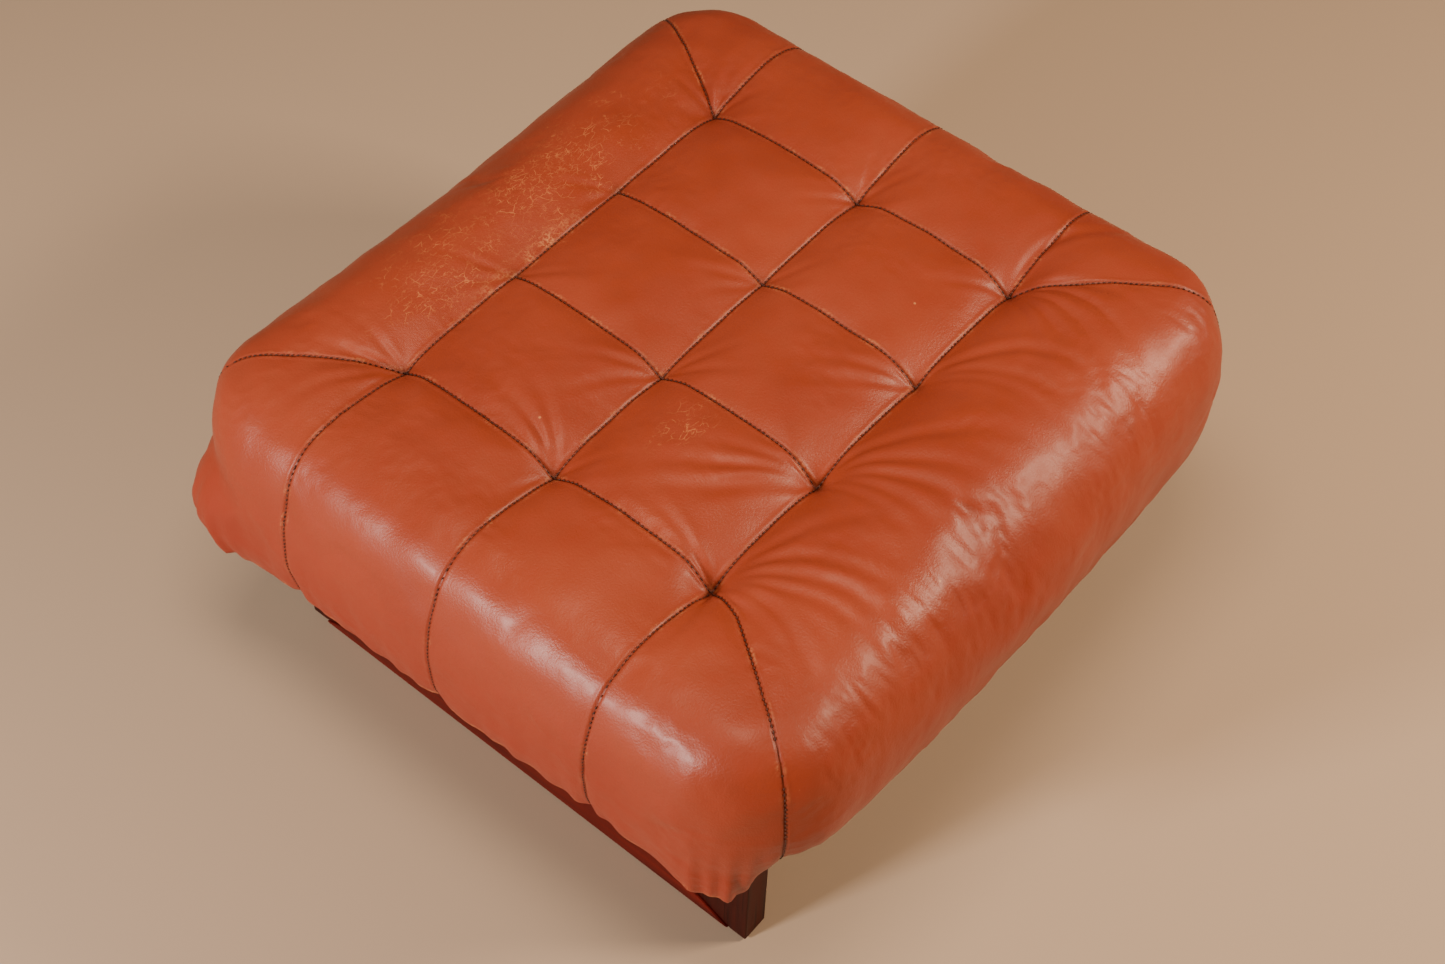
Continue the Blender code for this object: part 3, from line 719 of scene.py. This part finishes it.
def leather_marks(mesh, rest, down, signed):
    """Stores the dark seam lines, the painted shade at the tufts and seams, and where the leather is worn
    and cracked, for its material.
    """
    tuft = tuft_distance(rest)
    rough = smooth_noise(rest, 0.016, 11)
    distance = np.abs(signed)
    put_values(mesh, "groove", 0.55 * bell(distance, 0.0008))
    # painted shade: darker at the tufts and along the seams
    tuft_seam_shade = 0.7 * bell(tuft, 0.007) + 0.25 * np.exp(-distance / 0.0025)
    put_values(mesh, "tuft_seam_shade", unit(tuft_seam_shade))
    lip = 0.6 * bell(distance - 0.0026, 0.0012) * unit(0.1 + 0.9 * rough)
    back_row = bell(rest[:, 1] - ROWS[-1] - 0.006, 0.006) * unit(1.3 - np.abs(rest[:, 0] + 0.03) / 0.07)
    hem = unit((down - 0.965) / 0.035) * unit(0.35 + rough)
    put_values(mesh, "worn", unit(lip + 0.9 * back_row * unit(0.6 + rough) + hem))
    crack = np.zeros(len(rest))
    for x, y, wide, deep, strength in CRACKED:
        spot = ((rest[:, 0] - x) / wide) ** 2 + ((rest[:, 1] - y) / deep) ** 2
        crack = np.maximum(crack, strength * np.exp(-(spot**1.5)))
    put_values(mesh, "crack", crack * (rest[:, 2] > TOP - 0.06))


def turn_hem(piece):
    """Folds the leather's lower edge in and up, and returns the loop that the elastic follows."""
    bm = bmesh.new()
    bm.from_mesh(piece.data)
    bm.normal_update()
    worn = bm.verts.layers.float["worn"]
    edge = [e for e in bm.edges if e.is_boundary]
    facts = {}
    for vert in {v for e in edge for v in e.verts}:
        inner = [e.other_vert(vert) for e in vert.link_edges if not e.is_boundary]
        along = (vert.co - inner[0].co).normalized() if inner else Vector((0, 0, -1))
        facts[vert] = (vert.co.copy(), along, vert.normal.copy())
    current = {vert: vert for vert in facts}
    for inward, beyond, back in HEM_TURNS:
        made = bmesh.ops.extrude_edge_only(bm, edges=edge)["geom"]
        new_edges = [g for g in made if isinstance(g, bmesh.types.BMEdge) and g.is_boundary]
        old = {v: k for k, v in current.items()}
        fresh = {}
        for vert in [g for g in made if isinstance(g, bmesh.types.BMVert)]:
            source = next(e.other_vert(vert) for e in vert.link_edges if e.other_vert(vert) in old)
            root = old[source]
            place, along, normal = facts[root]
            vert.co = place - normal * HEM_FOLD * inward + along * (HEM_FOLD * beyond + TURNED_HEM * back)
            vert[worn] = root[worn] * 0.8
            fresh[root] = vert
        current = fresh
        edge = new_edges
    loop = ordered_loop(edge)
    lift = {
        vert: facts[root][1] * TURNED_HEM * ELASTIC_UP - facts[root][2] * ELASTIC_IN
        for root, vert in current.items()
    }
    points = [vert.co + lift[vert] for vert in loop]
    bm.to_mesh(piece.data)
    bm.free()
    return points


def ordered_loop(edges):
    """The points of a closed loop of edges, in order."""
    first = edges[0]
    loop = [first.verts[0], first.verts[1]]
    inside = set(edges)
    inside.discard(first)
    while inside:
        step = next(e for e in loop[-1].link_edges if e in inside)
        inside.discard(step)
        loop.append(step.other_vert(loop[-1]))
    return loop[:-1]


def seam_path(start, end, spacing):
    """Places in plan this far apart along a seam."""
    length = math.dist(start, end)
    count = max(2, int(length / spacing))
    (x, y), (end_x, end_y) = start, end
    return [(x + (end_x - x) * k / count, y + (end_y - y) * k / count) for k in range(count + 1)]


def tree_of(points):
    """A search tree over these points."""
    tree = kdtree.KDTree(len(points))
    for index, place in enumerate(points):
        tree.insert(place, index)
    tree.balance()
    return tree


def surface_finder(rest, points, normals):
    """A function from a rest position to the finished leather's position and outward direction."""
    tree = tree_of(rest)

    def find(place):
        total = 0.0
        position = np.zeros(3)
        direction = np.zeros(3)
        for _, index, distance in tree.find_n(place, 6):
            weight = 1 / (distance + 0.0003) ** 2
            position += weight * points[index]
            direction += weight * normals[index]
            total += weight
        return Vector(position / total), Vector(direction).normalized()

    return find


def form_finder(rest):
    """A function from a place in plan on the top to its rest position on the smooth form."""
    tree = tree_of(rest * (1, 1, 0))

    def place(spot):
        _, index, _ = tree.find((spot[0], spot[1], 0.0))
        return Vector((spot[0], spot[1], rest[index][2]))

    return place


def side_seams(rest, signed):
    """Rest positions down each seam's run over the side, from the shoulder to the hem."""
    ends = []
    for name, start, end in seam_lines():
        if name.startswith("row"):
            ends += [start, end]
        elif name.startswith("corner") and not name.endswith("start"):
            ends.append(end)
    routes = []
    for end in ends:
        close = np.linalg.norm(rest[:, :2] - np.array(end), axis=1) < SIDE_SEAM_REACH
        near = (np.abs(signed) < 0.0015) & close
        line = rest[near & (rest[:, 2] < TOP - SIDE_SEAM_TOP)]
        levels = np.arange(TOP - SIDE_SEAM_TOP, line[:, 2].min() + 0.004, -STITCH / 2)
        bands = [line[np.abs(line[:, 2] - z) < STITCH * 0.3] for z in levels]
        routes.append([band.mean(axis=0) for band in bands if len(band)])
    return routes


def stitches(find, form_place, falls):
    """Every stitch of the seams: a short bead of thread lying in the groove."""
    bead = bmesh.new()
    bmesh.ops.create_uvsphere(bead, u_segments=6, v_segments=5, radius=1)
    shape = np.array([v.co[:] for v in bead.verts])
    faces = [[v.index for v in f.verts] for f in bead.faces]
    bead.free()
    points = []
    polygons = []
    paths = [seam_path(start, end, STITCH / 2) for _, start, end in seam_lines()]
    routes = [[form_place(spot) for spot in path] for path in paths]
    for places in routes + falls:
        route = [find(place) for place in places]
        for (a, out), (b, _) in zip(route[::2], route[1::2]):
            along = b - a
            if along.length > STITCH * 0.75 or along.length < STITCH * 0.2:
                continue
            side = along.cross(out).normalized()
            centre = (a + b) / 2 + out * THREAD_OUT
            axes = np.array([along * 0.62, side * THREAD, out * THREAD * 0.8])
            base = len(points)
            points += (np.array(centre) + shape @ axes).tolist()
            polygons += [[base + i for i in f] for f in faces]
    return new_piece("seam_stitches", new_mesh("seam_stitches", points, polygons))


def leather():
    """The leather cover with all its relief; also gives the elastic's route and a finder of the surface."""
    piece = leather_start()
    subdivide_all(piece)
    refine_seams(piece, SEAM_REACH)
    mesh = piece.data
    rest = values_of(mesh, "rest")
    down = values_of(mesh, "down")
    signed = nearest_seam(rest)
    inward, dip = hem_gather(rest, down, signed)
    relief = fold_relief(rest) * (1 - down) + crease_relief(rest) + seam_relief(signed) + inward
    points = coordinates(mesh) + normals_of(mesh) * relief[:, None]
    points[:, 2] += dip
    put_coordinates(mesh, points)
    leather_marks(mesh, rest, down, signed)
    find = surface_finder(rest, points, normals_of(mesh))
    place = form_finder(rest)
    loop = turn_hem(piece)
    piece.data.shade_smooth()
    return piece, loop, find, place, side_seams(rest, signed)


# ---------------------------------------------------------------- materials
class Nodes:
    """A short way to write a node tree."""

    def __init__(self, name):
        self.material = bpy.data.materials.new(name)
        self.material.use_nodes = True
        self.tree = self.material.node_tree
        self.shader = self.tree.nodes["Principled BSDF"]
        self.place = self.add("ShaderNodeTexCoord").outputs["Object"]

    def add(self, kind, **values):
        """A node; a value whose name is an input goes to that socket, and any other is a setting."""
        node = self.tree.nodes.new(kind)
        for name, value in values.items():
            if hasattr(node, name):
                setattr(node, name, value)
        for name, value in values.items():
            if not hasattr(node, name):
                self.feed(node.inputs[name.replace("_", " ")], value)
        return node

    def feed(self, socket, value):
        """Links a socket to this one, or sets its constant."""
        if isinstance(value, bpy.types.NodeSocket):
            self.tree.links.new(value, socket)
        else:
            socket.default_value = value

    def attribute(self, name):
        """What put_values stored in the mesh under this name."""
        return self.add("ShaderNodeAttribute", attribute_name=name).outputs["Fac"]

    def stretched(self, scale):
        """The object's coordinates, scaled along each axis."""
        return self.add("ShaderNodeMapping", Vector=self.place, Scale=scale).outputs["Vector"]

    def noise(self, scale, detail=3.0, distortion=0.0, vector=None, roughness=0.5):
        values = {"Scale": scale, "Detail": detail, "Roughness": roughness, "Distortion": distortion}
        return self.add("ShaderNodeTexNoise", Vector=vector or self.place, **values).outputs["Fac"]

    def voronoi(self, scale, feature="F1", vector=None):
        return self.add("ShaderNodeTexVoronoi", feature=feature, Scale=scale, Vector=vector or self.place)

    def span(self, value, low, high, to_low=0.0, to_high=1.0):
        """The value from low to high, brought to the second range and kept in it."""
        made = self.add("ShaderNodeMapRange")
        names = ("Value", "From Min", "From Max", "To Min", "To Max")
        for name, number in zip(names, (value, low, high, to_low, to_high)):
            self.feed(made.inputs[name], number)
        return made.outputs["Result"]

    def times(self, a, b):
        return self.math("MULTIPLY", a, b)

    def plus(self, a, b):
        return self.math("ADD", a, b)

    def height(self):
        return self.add("ShaderNodeSeparateXYZ", Vector=self.place).outputs["Z"]

    def math(self, operation, a, b=0.0):
        made = self.add("ShaderNodeMath", operation=operation)
        self.feed(made.inputs[0], a)
        self.feed(made.inputs[1], b)
        return made.outputs["Value"]

    def ramp(self, value, *stops):
        """A colour that runs through these (position, colour) stops."""
        made = self.add("ShaderNodeValToRGB")
        self.feed(made.inputs["Fac"], value)
        ends = made.color_ramp.elements
        while len(ends) < len(stops):
            ends.new(0.5)
        for end, (position, colour) in zip(ends, stops):
            end.position = position
            end.color = (*colour, 1)
        return made.outputs["Color"]

    def mix(self, amount, a, b):
        made = self.add("ShaderNodeMix", data_type="RGBA")
        self.feed(made.inputs[0], amount)
        self.feed(made.inputs[6], a if isinstance(a, bpy.types.NodeSocket) else (*a, 1))
        self.feed(made.inputs[7], b if isinstance(b, bpy.types.NodeSocket) else (*b, 1))
        return made.outputs[2]

    def bump(self, height, depth, strength=1.0, under=None):
        made = self.add("ShaderNodeBump", Height=height, Distance=depth, Strength=strength)
        if under:
            self.feed(made.inputs["Normal"], under)
        return made.outputs["Normal"]

    def finish(self, colour, roughness, normal=None, **sockets):
        """Connects the shader and gives the material back."""
        self.feed(self.shader.inputs["Base Color"], colour)
        self.feed(self.shader.inputs["Roughness"], roughness)
        if normal:
            self.feed(self.shader.inputs["Normal"], normal)
        for name, value in sockets.items():
            self.feed(self.shader.inputs[name.replace("_", " ")], value)
        return self.material


def warped_place(n):
    """The object's coordinates, bent a little so that cracks don't run straight."""
    bent = n.add("ShaderNodeTexNoise", Scale=38.0, Detail=3.0, Vector=n.place)
    warp = n.add("ShaderNodeMix", data_type="VECTOR")
    n.feed(warp.inputs[0], 0.012)
    n.feed(warp.inputs[4], n.place)
    n.feed(warp.inputs[5], bent.outputs["Color"])
    return warp.outputs[1]


def leather_cracks(n, place):
    """Fine broken lines where the mesh says that the leather is cracked."""
    drawn_out = n.add("ShaderNodeMapping", Vector=place, Scale=(0.55, 1.15, 1.0)).outputs["Vector"]
    coarse = n.voronoi(130, "DISTANCE_TO_EDGE", drawn_out).outputs["Distance"]
    fine = n.voronoi(340, "DISTANCE_TO_EDGE", drawn_out).outputs["Distance"]
    broken = n.span(n.noise(150, 2), 0.44, 0.56)
    lines = n.times(n.span(coarse, 0.0, 0.040, 1.0, 0.0), broken)
    hair = n.times(n.span(fine, 0.0, 0.075, 1.0, 0.0), n.span(n.noise(210, 2), 0.46, 0.60, 0.0, 0.8))
    crack = n.attribute("crack")
    patches = n.span(n.plus(n.noise(34, 4), n.times(crack, 0.34)), 0.62, 0.84)
    fine_patches = n.span(n.plus(n.noise(60, 3), n.times(crack, 0.34)), 0.66, 0.86)
    cracks = n.math("MAXIMUM", n.times(lines, patches), n.times(hair, fine_patches))
    return n.times(cracks, n.span(crack, 0.05, 0.3))


def leather_colour(n, wear, cracks):
    """Mottled terracotta, with painted shade on the lower sides and in the tufts and seams, pale where worn
    or cracked.
    """
    tone = n.ramp(n.noise(7, 4), (0.25, LEATHER_DEEP), (0.75, LEATHER_LIGHT))
    colour = n.mix(n.span(n.noise(70, 5), 0.3, 0.7, 0.0, 0.30), tone, LEATHER_RED)
    # painted shade: the lower sides are darkened by height
    colour = n.mix(n.span(n.height(), *PAINTED_SHADE_HEIGHTS, 0.85, 0.0), colour, LEATHER_PAINTED_SHADE)
    # painted shade in the tufts and along the seams
    colour = n.mix(n.times(n.attribute("tuft_seam_shade"), 0.75), colour, LEATHER_TUFT_SEAM_SHADE)
    colour = n.mix(n.times(wear, 0.75), colour, LEATHER_WORN)
    colour = n.mix(n.times(cracks, 0.80), colour, LEATHER_CRACK)
    spots = n.voronoi(24)
    fleck = n.span(spots.outputs["Distance"], 0.015, 0.035, 1.0, 0.0)
    chosen = n.add("ShaderNodeSeparateColor", Color=spots.outputs["Color"]).outputs["Red"]
    fleck = n.times(fleck, n.span(chosen, 0.80, 0.82))
    colour = n.mix(n.times(fleck, 0.7), colour, LEATHER_WORN)
    return n.mix(n.attribute("groove"), colour, LEATHER_GROOVE)


def leather_grain(n, place, cracks):
    """Pebbled grain with fine wrinkles, broken by the cracks."""
    grain = n.voronoi(900, "DISTANCE_TO_EDGE").outputs["Distance"]
    wrinkles = n.voronoi(170, "DISTANCE_TO_EDGE", place).outputs["Distance"]
    relief = n.plus(n.times(n.span(grain, 0.0, 0.25), 0.25), n.times(n.noise(1500, 2), 0.25))
    relief = n.plus(relief, n.times(n.span(wrinkles, 0.0, 0.12), 0.30))
    relief = n.math("SUBTRACT", relief, n.times(cracks, 0.9))
    pebbles = n.voronoi(560, "SMOOTH_F1").outputs["Distance"]
    return n.bump(relief, 0.00022, 0.55, n.bump(pebbles, 0.00030, 0.5))


def leather_finish():
    """Aged terracotta leather."""
    n = Nodes("leather_finish")
    place = warped_place(n)
    cracks = leather_cracks(n, place)
    wear = n.times(n.attribute("worn"), n.span(n.noise(420, 3), 0.42, 0.62))
    roughness = n.span(n.noise(16, 4), 0.3, 0.7, 0.37, 0.50)
    roughness = n.plus(roughness, n.times(n.math("MAXIMUM", cracks, wear), 0.25))
    colour = leather_colour(n, wear, cracks)
    normal = leather_grain(n, place, cracks)
    return n.finish(colour, roughness, normal, **LEATHER_SHEEN)


def wood_finish(name, dark, light, axis, size=1.0, roughness=(0.38, 0.50), gloss=0.08):
    """Polished wood with its grain along one axis."""
    n = Nodes(name)
    long, short = 2.2 * size, 60 * size
    scale = tuple(long if k == axis else short for k in range(3))
    grain = n.noise(1.0, 6, 0.6, n.stretched(scale))
    pores = n.noise(1.0, 2, 0.0, n.stretched(tuple(v * 6 for v in scale)))
    clouds = n.noise(5, 3)
    figure = n.plus(n.times(grain, 0.75), n.times(clouds, 0.25))
    colour = n.ramp(figure, (0.34, dark), (0.66, light))
    colour = n.mix(n.span(pores, 0.56, 0.66, 0.0, 0.55), colour, tuple(v * 0.45 for v in dark))
    normal = n.bump(n.math("SUBTRACT", grain, n.span(pores, 0.56, 0.66)), 0.00016, 0.4)
    return n.finish(colour, n.span(grain, 0.3, 0.7, *roughness), normal, Specular_IOR_Level=gloss)


def plywood_finish():
    """Birch plywood: long pale grain on its faces, and its plies where they show at an edge."""
    n = Nodes("plywood_finish")
    grain = n.noise(1.0, 5, 0.8, n.stretched((3, 46, 46)))
    face = n.ramp(grain, (0.3, (0.46, 0.30, 0.16)), (0.7, (0.66, 0.48, 0.29)))
    ply = n.math("PINGPONG", n.height(), PLY)
    normal = n.add("ShaderNodeNewGeometry").outputs["Normal"]
    sides = n.add("ShaderNodeSeparateXYZ", Vector=normal).outputs["Z"]
    edge = n.span(n.math("ABSOLUTE", sides), 0.3, 0.6, 1.0, 0.0)
    stripe = n.times(n.span(ply, 0.0005, 0.0009), edge)
    colour = n.mix(n.times(stripe, 0.55), face, (0.30, 0.18, 0.09))
    return n.finish(colour, n.span(grain, 0.3, 0.7, 0.5, 0.65), n.bump(grain, 0.0003, 0.5))


def foam_finish():
    """Open-celled foam, yellowed with age."""
    n = Nodes("foam_finish")
    cells = n.voronoi(520).outputs["Distance"]
    colour = n.ramp(n.noise(12, 4), (0.3, (0.66, 0.52, 0.28)), (0.7, (0.80, 0.70, 0.46)))
    colour = n.mix(n.span(cells, 0.3, 0.7, 0.0, 0.25), colour, (0.50, 0.38, 0.18))
    return n.finish(colour, n.span(cells, 0.2, 0.7, 0.85, 0.98), n.bump(cells, 0.0006, 0.8))


def woven_finish(name, colour, other, pitch, roughness, depth):
    """A plain weave of two threads crossing at this pitch."""
    n = Nodes(name)
    place = n.stretched((3.14, 3.14, 3.14))
    threads = [
        n.add("ShaderNodeTexWave", Scale=1 / pitch / 20, bands_direction=way, Vector=place).outputs["Fac"]
        for way in ("X", "Y")
    ]
    weave = n.math("MAXIMUM", *threads)
    shade = n.times(weave, n.span(n.noise(90, 4), 0.3, 0.7, 0.6, 1.0))
    smoothness = n.span(weave, 0, 1, roughness, roughness - 0.12)
    return n.finish(n.mix(shade, other, colour), smoothness, n.bump(weave, depth, 0.7))


def metal_finish():
    """Dull brushed steel."""
    n = Nodes("steel_finish")
    brushed = n.noise(1.0, 3, 0.0, n.stretched((60, 900, 900)))
    spots = n.noise(35, 5)
    colour = n.ramp(spots, (0.3, (0.36, 0.34, 0.30)), (0.7, (0.58, 0.56, 0.52)))
    roughness = n.span(brushed, 0.3, 0.7, 0.24, 0.42)
    return n.finish(colour, roughness, n.bump(brushed, 0.00005, 0.5), Metallic=1.0)


def moulded_finish(name, dark, light, rough):
    """Rubber or plastic with a fine moulded texture."""
    n = Nodes(name)
    speck = n.noise(1400, 3)
    colour = n.ramp(n.noise(40, 4), (0.3, dark), (0.7, light))
    return n.finish(colour, n.span(speck, 0.3, 0.7, rough - 0.08, rough + 0.08), n.bump(speck, 0.0001, 0.5))


def thread_finish():
    """Dark waxed thread."""
    n = Nodes("thread_finish")
    fibre = n.noise(1500, 3)
    colour = n.ramp(n.noise(60, 3), (0.3, (0.050, 0.012, 0.007)), (0.7, (0.110, 0.026, 0.013)))
    return n.finish(colour, n.span(fibre, 0.3, 0.7, 0.55, 0.75), n.bump(fibre, 0.0001, 0.6))




def finish_piece(piece, finish, body):
    """Gives a piece its material and puts it on its body."""
    piece.data.materials.clear()
    piece.data.materials.append(MATERIALS[finish])
    if hasattr(piece.data, "shade_smooth"):
        piece.data.shade_smooth()
    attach(piece, body)


def hem_elastic(points):
    """The elastic cord in the turned hem."""
    kept = points[::ELASTIC_EVERY]
    curve = bpy.data.curves.new("hem_cord", "CURVE")
    curve.dimensions = "3D"
    curve.bevel_depth = ELASTIC_R
    curve.bevel_resolution = 2
    spline = curve.splines.new("POLY")
    spline.points.add(len(kept) - 1)
    for point, place in zip(spline.points, kept):
        point.co = (*place, 1)
    spline.use_cyclic_u = True
    return new_piece("hem_cord", curve)


def inside_leather(find, places, depth):
    """The finished leather's surface at these rest positions, and this far inside it."""
    return [position - outward * depth for position, outward in map(find, places)]


def bridge(faces, first, second, count):
    """Adds the faces between two closed rings of points."""
    for k in range(count):
        nxt = (k + 1) % count
        faces.append((first + k, second + k, second + nxt, first + nxt))


def foam(find):
    """The foam block on the board and the foam edging round it, both shaped by the leather they fill."""
    form, faces, _ = seat_form(FOAM_STEP)
    under = BOARD_HIGH[2] + FOAM_CLEAR
    places = inside_leather(find, form, FOAM_DEPTH)
    places = [Vector((p.x, p.y, max(p.z, under))) for p in places]
    above = TOP - form[:, 2] < WIDEST + FOAM_OVERLAP
    keep = [face for face in faces if all(above[i] for i in face)]
    bm = bmesh.new()
    verts = [bm.verts.new(p) for p in places]
    for face in keep:
        bm.faces.new([verts[i] for i in face])
    bmesh.ops.delete(bm, geom=[v for v in bm.verts if not v.link_faces], context="VERTS")
    rim = [e for e in bm.edges if e.is_boundary]
    lower = bmesh.ops.extrude_edge_only(bm, edges=rim)["geom"]
    for vert in [g for g in lower if isinstance(g, bmesh.types.BMVert)]:
        vert.co.z = under
    bmesh.ops.holes_fill(bm, edges=[e for e in bm.edges if e.is_boundary])
    bmesh.ops.recalc_face_normals(bm, faces=bm.faces)
    return piece_from("foam_block", bm), foam_edging(find)


def foam_edging(find):
    """A ring of foam between the board and the side of the leather."""
    fractions_x, fractions_y = ([k / count for k in range(count + 1)] for count in FOAM_SIDES)
    places, widest = outline(fractions_x, fractions_y)
    outward = plan_normals(widest)
    half_x, half_y = BOARD_HIGH[0] + FOAM_CLEAR, BOARD_HIGH[1] + FOAM_CLEAR
    board = ring_points(fractions_x, fractions_y, half_x, half_y, BOARD_CORNER)
    top = BOARD_HIGH[2]
    rings = []
    for part in FOAM_RINGS:
        inward, fall = skirt(places, part)
        flat = widest - outward * inward[:, None]
        rest = np.column_stack([flat, TOP - WIDEST - fall])
        rings.append(inside_leather(find, rest, FOAM_DEPTH))
    low = min(p.z for p in rings[-1])
    rings.insert(0, [Vector((p.x, p.y, top)) for p in rings[0]])
    rings.append([Vector((x, y, max(low, top - FOAM_LOW))) for x, y in board])
    rings.append([Vector((x, y, top)) for x, y in board])
    count = len(board)
    faces = []
    for number in range(len(rings)):
        bridge(faces, number * count, ((number + 1) % len(rings)) * count, count)
    return new_piece("foam_edging", new_mesh("foam_edging", [p for ring in rings for p in ring], faces))


def dust_cover():
    """The cloth tray under the board, its staples, and the size that the cloth was cut to."""
    low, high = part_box("dust_cover")
    columns, rows = DUST_GRID
    points = []
    for j in range(rows + 1):
        for i in range(columns + 1):
            u, v = i / columns, j / rows
            inner = min(u, 1 - u, v, 1 - v)
            sag = min(1.0, inner * DUST_SAG) * (high[2] - low[2] - 3 * DUST_CLOTH)
            near_edge = max(0, 0.06 - min(v, 1 - v)) / 0.06
            ripple = 0.0005 * noise.noise(Vector((u * 9, v * 7, 0.3)))
            ripple += 0.0006 * math.sin(u * 60) * near_edge
            x = low[0] + (high[0] - low[0]) * u
            y = low[1] + (high[1] - low[1]) * v
            points.append((x, y, high[2] - DUST_CLOTH - sag + ripple * min(1.0, inner * 20)))
    wide = columns + 1
    faces = [
        (j * wide + i, (j + 1) * wide + i, (j + 1) * wide + i + 1, j * wide + i + 1)
        for j in range(rows)
        for i in range(columns)
    ]
    tray = new_piece("dust_sheet", new_mesh("dust_sheet", points, faces))
    area = sum(face.area for face in tray.data.polygons)
    width = high[0] - low[0]
    return tray, staple_row(low, high), (width, area / width)


def staple_row(low, high):
    """Staples through the dust cover's edge into the board."""
    bm = bmesh.new()
    spots = []
    xs, ys = ([a + (b - a) * (k + 0.5) / n for k in range(n)] for a, b, n in zip(low, high, STAPLES))
    for y in (low[1] + STAPLE_INSET, high[1] - STAPLE_INSET):
        spots += [(x, y, 0.0) for x in xs]
    for x in (low[0] + STAPLE_INSET, high[0] - STAPLE_INSET):
        spots += [(x, y, math.pi / 2) for y in ys]
    leg_out, leg_up = STAPLE_LEG_PLACE
    for x, y, turn in spots:
        place = Matrix.Translation((x, y, high[2] - 3 * DUST_CLOTH)) @ Matrix.Rotation(turn, 4, "Z")
        bmesh.ops.create_cube(bm, size=1, matrix=place @ Matrix.Diagonal((*STAPLE, 1)))
        for end in (-1, 1):
            leg = place @ Matrix.Translation((end * leg_out, 0, leg_up))
            bmesh.ops.create_cube(bm, size=1, matrix=leg @ Matrix.Diagonal((*STAPLE_LEG, 1)))
    return piece_from("dust_staples", bm)


def materials():
    """Every finish, by the name that finish_piece and grain_of know it by."""
    return {
        "leather": leather_finish(),
        "thread": thread_finish(),
        "rosewood_x": wood_finish("rosewood_x_finish", *DARK_WOOD, 0),
        "rosewood_z": wood_finish("rosewood_z_finish", *DARK_WOOD, 2),
        # painted light: the rosewood coloured lighter and redder
        "red_rosewood": wood_finish("rosewood_painted_light_finish", *ROSEWOOD_PAINTED_LIGHT, 1),
        "pine_x": wood_finish("pine_x_finish", *PALE_WOOD, 0, 0.6, (0.5, 0.65), 0.4),
        "pine_y": wood_finish("pine_y_finish", *PALE_WOOD, 1, 0.6, (0.5, 0.65), 0.4),
        "plywood": plywood_finish(),
        "foam": foam_finish(),
        **{name: woven_finish(f"{name}_finish", *values) for name, values in WOVEN.items()},
        "steel": metal_finish(),
        "rubber": moulded_finish("rubber_finish", (0.014, 0.014, 0.014), (0.030, 0.029, 0.028), 0.70),
        "glide_plastic": moulded_finish("glide_finish", (0.045, 0.034, 0.026), (0.080, 0.062, 0.050), 0.45),
    }


def dress_frame():
    """Gives every CAD node that shows its finished material."""
    for name, node in frame["nodes"].items():
        finish = grain_of(name, SLOTS[name])
        for holder in node.material_slots:
            holder.material = MATERIALS[finish]


def grain_of(name, slot):
    """The wood finishes come with their grain along one axis."""
    if slot == "rosewood":
        return "rosewood_z" if name.startswith("end_panel") else "rosewood_x"
    if slot == "pine":
        return "pine_y" if name.endswith(("_left", "_right")) and "cleat" in name else "pine_x"
    return slot


def camera():
    """The camera of the reference view: high over the front left corner, rolled a little."""
    forward = Vector(CAMERA_FORWARD).normalized()
    right = Vector(CAMERA_RIGHT)
    right = (right - forward * right.dot(forward)).normalized()
    up = right.cross(forward)
    turn = Matrix((right, up, -forward)).transposed()
    data = bpy.data.cameras.new("camera")
    data.sensor_width = CAMERA_SENSOR
    data.lens = CAMERA_LENS
    data.clip_start = 0.05
    made = bpy.data.objects.new("camera", data)
    made.matrix_world = Matrix.Translation(CAMERA_PLACE) @ turn.to_4x4()
    bpy.context.scene.collection.objects.link(made)
    bpy.context.scene.camera = made


def area_light(name, place, size, power, colour):
    """A rectangular soft light that faces the ottoman."""
    data = bpy.data.lights.new(name, "AREA")
    data.shape = "RECTANGLE"
    data.size, data.size_y = size
    data.energy = power
    data.color = colour
    light = bpy.data.objects.new(name, data)
    light.location = place
    light.rotation_euler = (Vector(LIGHT_TARGET) - Vector(place)).to_track_quat("-Z", "Y").to_euler()
    bpy.context.scene.collection.objects.link(light)


def stage():
    """The plain pale floor."""
    bm = bmesh.new()
    bmesh.ops.create_grid(bm, x_segments=1, y_segments=1, size=FLOOR_HALF)
    floor = piece_from("floor", bm)
    made = bpy.data.materials.new("floor")
    made.use_nodes = True
    shader = made.node_tree.nodes["Principled BSDF"]
    shader.inputs["Base Color"].default_value = FLOOR_COLOUR
    shader.inputs["Roughness"].default_value = 0.6
    floor.data.materials.append(made)


def surroundings():
    """Faint warm light from all round."""
    world = bpy.data.worlds.new("world")
    world.use_nodes = True
    background = world.node_tree.nodes["Background"]
    background.inputs["Color"].default_value = WORLD_COLOUR
    background.inputs["Strength"].default_value = WORLD_STRENGTH
    bpy.context.scene.world = world


MATERIALS = materials()
SLOTS = {entry["node"]: entry["material_slot"] for entry in frame["record"]["subparts"]}
camera()
stage()
for name, settings in LIGHTS.items():
    area_light(name, *settings)
surroundings()

cover, hem_loop, find, form_place, falls = leather()
finish_piece(cover, "leather", "lid")
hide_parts("leather_cover")
thread = stitches(find, form_place, falls)
finish_piece(thread, "thread", "lid")
elastic = hem_elastic(hem_loop)
finish_piece(elastic, "elastic", "lid")
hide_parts("hem_elastic")
block, edging = foam(find)
finish_piece(block, "foam", "lid")
finish_piece(edging, "foam", "lid")
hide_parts("foam_core")
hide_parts("edge_foam_front", "edge_foam_back", "edge_foam_left", "edge_foam_right")
tray, staples, cut = dust_cover()
finish_piece(tray, "dust_cloth", "lid")
finish_piece(staples, "steel", "lid")
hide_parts("dust_cover")
dress_frame()
